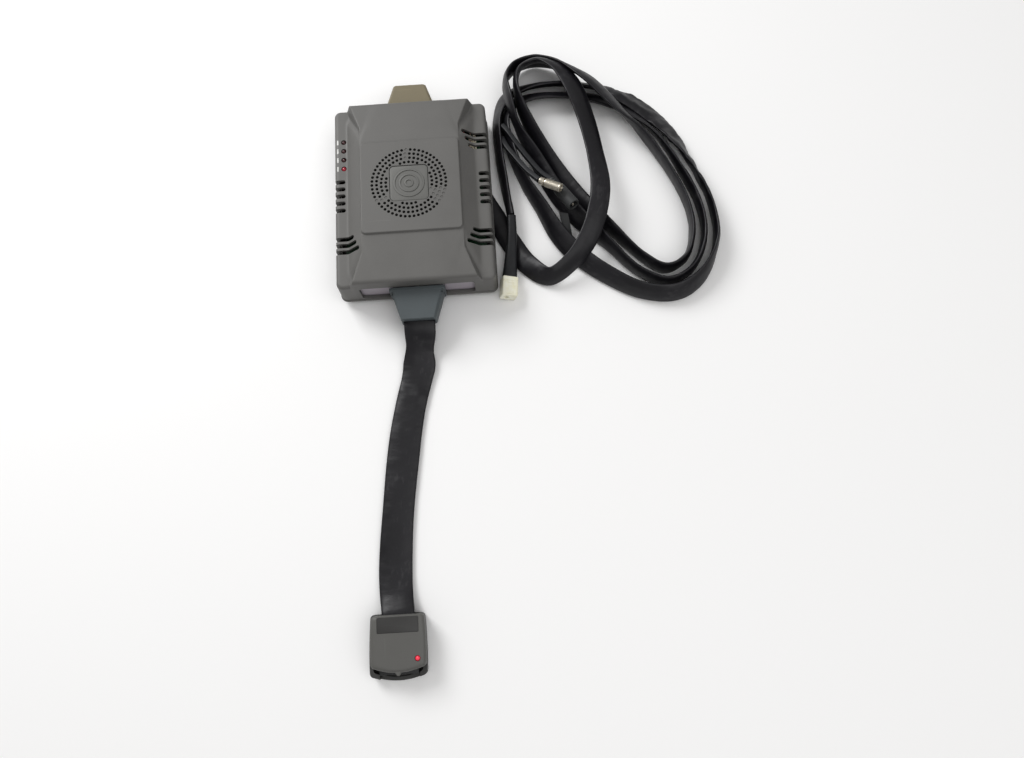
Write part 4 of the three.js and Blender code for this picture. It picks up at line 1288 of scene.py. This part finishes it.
def hood_body(name, end, drop, finish, inset=0.0):
    """The tapered part, as a skin over rings from the collar to the mouth."""
    rings = []
    stations = [(0.0, 0.0), (0.35, 0.0), (0.7, 0.0), (0.97, 0.0), (1.0, 0.45)]
    for share, extra in stations:
        half_x = HOOD_BASE[0] + (HOOD_MOUTH_HALF - HOOD_BASE[0]) * share - inset - extra
        half_z = HOOD_BASE[1] - drop * share - inset - extra
        outline = octagon(half_x, half_z, 1.7 - 0.4 * share)
        rings.append(facing(outline, HOOD_BASE_Y + (end - HOOD_BASE_Y) * share))
    return piece(name, *skin(rings), finish, sharp=22)


def box_cutter(low, high, finish):
    points = list(itertools.product(*zip(low, high)))
    faces = [(0, 1, 3, 2), (4, 6, 7, 5), (0, 4, 5, 1), (2, 3, 7, 6), (0, 2, 6, 4), (1, 5, 7, 3)]
    return piece("cutter", points, faces, finish)


def hood(name, length, drop, finish):
    end = HOOD_BASE_Y - length
    body = hood_body(name, end, drop, finish)
    collar_rings = []
    for y, inset in ((-65.3, 0.35), (-64.95, 0.0), (-63.15, 0.0), (-62.8, 0.35)):
        outline = rounded(COLLAR[0] - 2 * inset, COLLAR[1] - 2 * inset, 1.5, (0, PLUG_Z), 4)
        collar_rings.append(facing(outline, y))
    carve(body, piece("collar", *skin(collar_rings), finish), operation="UNION", sharp=22)
    seam = box_cutter((-20, end - 1, PLUG_Z - 0.15), (20, -62.2, PLUG_Z + 0.15), finish)
    carve(seam, hood_body("core", end, drop, finish, HOOD_WALL))
    return carve(
        body,
        seam,
        box_cutter((-9.9, end - 1, PLUG_Z - 2.3), (9.9, end + 7, PLUG_Z + 2.7), finish),
        box_cutter((-15.6, -67.4, PLUG_Z - 6.4), (15.6, -65.6, PLUG_Z + 6.4), finish),
        box_cutter((-9.6, -66, PLUG_Z - 5), (9.6, -60, PLUG_Z + 5), finish),
        sharp=22,
    )


front_hood = hood("front_hood_skin", 19, 1.6, grey_hood)
hand_in(front_hood, "front_plug", "grey_hood", "front_hood_top", "front_hood_bottom")
rear_hood = placed(hood("rear_hood_skin", 17, 0.3, taupe_hood), Matrix.Rotation(math.pi, 4, "Z"))
hand_in(rear_hood, "rear_plug", "taupe_hood", "rear_hood_top", "rear_hood_bottom")

# %% [markdown]
# ## The pod
# The pod has two shells. The upper one is a rounded cap with slightly bowed sides, and its front
# bows out to a small pointed tooth. The lower one reaches further forward, so that its nose shows
# as a curved lip below the open socket.

# %% The pod
POD_TURN = Matrix.Rotation(math.radians(-0.5), 4, "Z")
POD_PLACE = shift(-19.1, -257.8, 0) @ POD_TURN
POD_SPLIT = 7.6
POD_TOP = 15.0
POD_HALF_REAR = 15.2
POD_CORNER = 2.6
POD_NOSE = 5.0
POD_BOW = 0.7
POD_ROUND = 2.2
POD_WALL = 1.6
# Length, half width at the front, and how far to the right the shell lies.
UPPER_FORM = (28.4, 15.6, 0.0)
LOWER_FORM = (33.0, 15.8, -0.9)
POD_LAMP = (11.1, -23.8)
LABEL_CENTRE = (0.2, -5.3)


def arc(first, middle, last, steps):
    """A quadratic curve through control points, without its last point."""
    t = np.linspace(0, 1, steps, endpoint=False)[:, None]
    first, middle, last = (np.array(p, float) for p in (first, middle, last))
    return (1 - t) ** 2 * first + 2 * t * (1 - t) * middle + t ** 2 * last


def pod_outline(inset, length, half_front, offset):
    """From the rear left corner round the front; sides bow a little outwards."""
    r, f, front = POD_HALF_REAR - inset, half_front - inset, length - inset
    corner, nose = POD_CORNER, POD_NOSE
    mid = (r + f) / 2 + POD_BOW
    pieces = [
        arc((-r + corner, -inset), (-r, -inset), (-r, -inset - corner), 6),
        arc((-r, -inset - corner), (-mid, -front / 2), (-f, -front + corner), 10),
        arc((-f, -front + corner), (-f, -front), (-f + corner, -front - 0.4), 6),
        arc((-f + corner, -front - 0.4), (0, -front - nose), (f - corner, -front - 0.4), 14),
        arc((f - corner, -front - 0.4), (f, -front), (f, -front + corner), 6),
        arc((f, -front + corner), (mid, -front / 2), (r, -inset - corner), 10),
        arc((r, -inset - corner), (r, -inset), (r - corner, -inset), 6),
        arc((r - corner, -inset), (0, -inset + 0.2), (-r + corner, -inset), 6),
    ]
    return np.concatenate(pieces) + (offset, 0)


def pod_shell(name, levels, finish, form):
    rings = [upright(pod_outline(inset, *form), z) for z, inset in levels]
    return piece(name, *skin(rings), finish, sharp=30)


cap_edge = [
    (POD_TOP - POD_ROUND + POD_ROUND * math.sin(a), POD_ROUND * (1 - math.cos(a)))
    for a in np.linspace(0, 1.5, 8)
]
cap_levels = [(POD_SPLIT + 0.3, 0.25), (POD_SPLIT + 0.7, 0.0), *cap_edge, (POD_TOP, 3.0)]
pod_top = pod_shell("pod_top_skin", cap_levels, pod_plastic, UPPER_FORM)
tooth_outline = np.array([(-2.7, -29.6), (-0.6, -32.7), (0.6, -32.7), (2.7, -29.6)])
tooth = [upright(tooth_outline, z) for z in (9.4, 13.9)]
tooth.append(upright(tooth_outline * (0.8, 0.985), 14.5))
carve(pod_top, piece("tooth", *skin(tooth), pod_plastic), operation="UNION", sharp=30)
hollow_levels = [(2.0, POD_WALL), (POD_TOP - POD_WALL, POD_WALL)]
pod_hollow = pod_shell("pod_hollow", hollow_levels, pod_plastic, UPPER_FORM)
carve(
    pod_top, pod_hollow,
    box_cutter((-10.9, -4, 3.6), (10.9, 3, 9.8), pod_plastic),
    box_cutter((-11.4, -60, 5), (11.4, -26.6, 11.4), pod_plastic),
    rod("lamp_hole", 1.6, 11, 17, pod_plastic, 28, centre=POD_LAMP),
    slab("label_seat", 23.6, 8.8, 0.6, 14.62, 16, pod_plastic, 0.02, centre=LABEL_CENTRE),
    sharp=30,
)
hand_in(placed(pod_top, POD_PLACE), "front_plug", "pod_plastic", "pod_top_shell")

base_edge = [
    (1.7 - 1.7 * math.sin(a), -0.4 + 1.7 * (1 - math.cos(a))) for a in np.linspace(1.5, 0, 7)
]
base_levels = [(0, 2.6), *base_edge, (POD_SPLIT - 0.3, -0.4), (POD_SPLIT, -0.1)]
# The lower shell takes the darker copy of the pod's plastic: painted shade on its lip and sides.
pod_bottom = pod_shell("pod_bottom_skin", base_levels, pod_nose_plastic, LOWER_FORM)
carve(
    pod_bottom,
    pod_shell("base_hollow", [(1.6, POD_WALL), (12, POD_WALL)], pod_nose_plastic, LOWER_FORM),
    box_cutter((-10.9, -4, 3.6), (10.9, 3, 12), pod_nose_plastic),
    box_cutter((-11.4, -60, 3), (11.4, -28, 12), pod_nose_plastic),
    sharp=30,
)
for x in (-10.5, 10.5):
    post = rod("post", 3.2, 1.2, 5.6, pod_nose_plastic, centre=(x, -7))
    carve(pod_bottom, post, operation="UNION", sharp=30)
    carve(pod_bottom, rod("well", 2.3, -1, 2.2, pod_nose_plastic, centre=(x, -7)), sharp=30)
hand_in(placed(pod_bottom, POD_PLACE), "front_plug", "pod_plastic", "pod_bottom_shell")

# %% What is on the pod
label = slab("pod_label_skin", 23.2, 8.4, 0.5, 14.64, 14.98, label_film, 0.06, centre=LABEL_CENTRE)
hand_in(placed(label, POD_PLACE), "front_plug", "black_plastic", "pod_label")
pod_lamp = lamp_body("pod_led_skin", 7.5, 15.8, lit_lamp, POD_LAMP)
hand_in(placed(pod_lamp, POD_PLACE), "front_plug", "lit_lamp", "pod_led")
pod_screws = pan_screw("pod_screws_skin", 2.0, 0.8, 3.4, -1)
grid_of(pod_screws, (-10.5, -7, 2.0), across=(21, 0, 0), columns=2)
hand_in(placed(pod_screws, POD_PLACE), "front_plug", "zinc_steel", "pod_screw_1", "pod_screw_2")

socket = slab("pod_socket_skin", 22, 6.2, 0.4, 3.4, 11, black_plastic, 0.25, centre=(0, -29.1))
CONTACT_PITCH = 2.54
contact = box_cutter((-0.5, -36, 5.4), (0.5, -29, 6.4), black_plastic)
contacts = grid_of(
    contact, (-3 * CONTACT_PITCH, 0, 0), across=(CONTACT_PITCH, 0, 0), along=(0, 0, 2.6),
    columns=7, rows=2,
)
carve(socket, contacts)
hand_in(placed(socket, POD_PLACE), "front_plug", "black_plastic", "pod_socket")

# %% [markdown]
# ## The ends of the three leads
# The ivory connector is a small block with a round hole, rolled a little to the right. The power
# plug and the power jack are turned. The plug has a bright ribbed barrel with a pin inside it. The
# jack has a dark grey body with a ribbed relief and a bright pin. A thin tag lies beside them.

# %% Connectors
CONNECTOR_PLACE = (
    shift(58, -55.2, 5.8) @ Matrix.Rotation(math.radians(-6), 4, "Z")
    @ Matrix.Rotation(math.radians(15), 4, "Y")
)
block_levels = (
    (-13, 0.35), (-12.65, 0.0), (-3.2, 0.0), (-3.0, 0.25), (-2.8, 0.0), (-0.35, 0.0), (0, 0.35),
)
block_rings = []
for y, inset in block_levels:
    block_rings.append(facing(rounded(10.2 - 2 * inset, 9 - 2 * inset, 0.9, steps=4), y))
connector = piece("white_connector_skin", *skin(block_rings), ivory_nylon, sharp=32)
turns = np.linspace(0, 2 * math.pi, 28, endpoint=False)
bore_circle = np.column_stack([np.cos(turns), np.sin(turns)])
bore_levels = ((1.6, -6), (1.6, -12.7), (2.0, -13.3))
bore = [facing(bore_circle * radius + (-1.2, -0.6), y) for radius, y in bore_levels]
slot_cut = box_cutter((-2.2, -12, 4.1), (2.2, -4.5, 6), ivory_nylon)
carve(connector, piece("bore", *skin(bore), ivory_nylon), slot_cut, sharp=32)
hand_in(placed(connector, CONNECTOR_PLACE), "rear_plug", "ivory_nylon", "white_connector")

PLUG_ENDS = ((82.1, 5.1, 20.5), (96.2, -4.0, 24.4))
JACK_ENDS = ((89.9, 9.3, 13.0), (103.6, -14.4, 18.6))
ribs = [(2.9 - 0.14 * (i % 2), 5.0 + 0.35 * i) for i in range(29)]
plug_profile = [
    (2.2, 0), (2.6, 0.3), (2.6, 2.9), (2.4, 3.2), (1.8, 3.3), (1.8, 4.1), (2.75, 4.3), *ribs,
    (2.9, 15.4), (2.75, 15.7), (2.1, 15.7), (2.0, 15.5), (2.0, 9.2),
]
plug_sleeve = turned("barrel_plug_skin", plug_profile, *PLUG_ENDS, nickel, sides=40)
plug_tip = turned(
    "barrel_plug_tip_skin", [(1.2, 9.4), (1.2, 15.6), (1.0, 16.3), (0.5, 16.7), (0.2, 16.8)],
    *PLUG_ENDS, nickel, sides=32,
)
relief_profile = [
    (2.2, 0), (2.4, 0.2), (2.4, 1.4), (2.1, 1.5), (2.1, 2.1), (2.7, 2.2), (2.7, 3.6), (2.2, 3.7),
    (2.2, 4.4), (2.9, 4.5), (2.9, 5.8), (2.5, 5.9), (2.5, 6.4), (3.2, 6.5), (3.2, 8.1),
]
jack_relief = turned("barrel_jack_relief_skin", relief_profile, *JACK_ENDS, grey_rubber, sides=36)
body_profile = [
    (3.7, 8.4), (4.0, 8.7), (4.2, 10), (4.2, 25.5), (4.0, 25.9), (3.1, 26.0), (2.8, 25.7),
    (2.8, 15),
]
jack_body = turned("barrel_jack_skin", body_profile, *JACK_ENDS, grey_rubber, sides=44)
jack_pin = turned(
    "barrel_jack_pin_skin", [(1.2, 15.2), (1.2, 24.9), (0.9, 25.5), (0.35, 25.7)], *JACK_ENDS,
    nickel, sides=24,
)
tag_corners = np.array([(93.5, -12.5, 9.6), (99.3, -14, 9.6), (101.4, -27, 3.0), (96.8, -28, 3.0)])
tag_middle = (tag_corners[[0, 1]] + tag_corners[[3, 2]]) / 2 + (0, 0, 0.5)
crown, down = np.array((0, 0, 0.08)), np.array((0, 0, 0.9))
tag_rings = []
for left, right in ((tag_corners[0], tag_corners[1]), tag_middle, (tag_corners[3], tag_corners[2])):
    inward = (right - left) * 0.06
    upper = [left, left + inward + crown, right - inward + crown, right]
    tag_rings.append(np.array([*upper, right - down, left - down]))
tag = piece("cable_tag_skin", *skin(tag_rings), black_plastic)
for made, slot, node in (
    (plug_sleeve, "nickel", "barrel_plug_sleeve"), (plug_tip, "nickel", "barrel_plug_tip"),
    (jack_relief, "black_plastic", "barrel_jack_relief"),
    (jack_body, "black_plastic", "barrel_jack_body"), (jack_pin, "nickel", "barrel_jack_pin"),
    (tag, "black_plastic", "cable_tag"),
):
    hand_in(made, "rear_plug", slot, node)

# %% [markdown]
# ## The cords on their bodies
# Each lead rides on its plug's body, and stands for its CAD nodes. The three short leads start
# where the harness ends.

def metres(curve):
    return (curve[:, :3] * MM).tolist()


def declare(made, curve, body, nodes):
    slot = "sleeve" if made in (harness, pod_lead) else "black_plastic"
    hand_in(made, body, slot, *nodes)
    curve[0, :3] * MM
    metres(curve)


declare(harness, harness_curve, "rear_plug", ("harness_fold", "harness_sleeve"))
declare(white_lead, white_curve, "rear_plug", ("white_lead",))
declare(plug_lead, plug_curve, "rear_plug", ("plug_lead",))
declare(jack_lead, jack_curve, "rear_plug", ("jack_lead",))
declare(pod_lead, pod_lead_curve, "front_plug", ("pod_lead_sleeve",))

# %% [markdown]
# ## Floor and light
# The object lies on a plain white table. One large soft light hangs over its upper left, so the
# shadows fall softly to the right. A weaker one on the right and a pale world fill them.

# %% Floor and light
def plain_surface(name, colour, roughness):
    made = Finish(name, roughness)
    made.set(Base_Color=(*colour, 1))
    return made.material


def soft_light(name, place, aim, size, power):
    lamp_object = bpy.data.objects.new(name, bpy.data.lights.new(name, "AREA"))
    lamp_object.data.size = size
    lamp_object.data.energy = power
    lamp_object.location = place
    lamp_object.rotation_euler = (Vector(aim) - Vector(place)).to_track_quat("-Z", "Y").to_euler()
    bpy.context.scene.collection.objects.link(lamp_object)
    return lamp_object


FLOOR_HALF = 1600
corners = np.array([(-1, -1, 0), (1, -1, 0), (1, 1, 0), (-1, 1, 0)]) * FLOOR_HALF
floor_white = plain_surface("floor_white", (0.86, 0.86, 0.86), 0.6)
floor = piece("floor", corners, [(0, 1, 2, 3)], floor_white)
floor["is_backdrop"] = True

soft_light("window_light", (-0.75, 0.8, 0.95), (0.05, 0, 0), 0.7, 12.5)
soft_light("fill_light", (0.5, -0.5, 1.2), (0.05, 0, 0), 1.4, 5.5)
room = bpy.data.worlds.new("pale_room")
bpy.context.scene.world = room
room.use_nodes = True
room.node_tree.nodes["Background"].inputs["Color"].default_value = (1, 0.99, 0.98, 1)
room.node_tree.nodes["Background"].inputs["Strength"].default_value = 0.42
bpy.context.scene.view_settings.view_transform = "Standard"
bpy.context.scene.view_settings.look = "Medium High Contrast"
print("floor", 2 * FLOOR_HALF, "mm square")

# %% [markdown]
# ## The box that it fills
# Both boxes, the CAD model's and the visual model's, are printed in millimetres, so that they can
# be compared. The visual model has to stay within the CAD model's size.

# %% Sizes and finish
visual_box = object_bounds()
sizes = {"cad": [list(c) for c in cad_box], "visual": [list(c) for c in visual_box]}
for name, (low, high) in sizes.items():
    print(name, [round((b - a) * 1000, 1) for a, b in zip(low, high)], "mm")
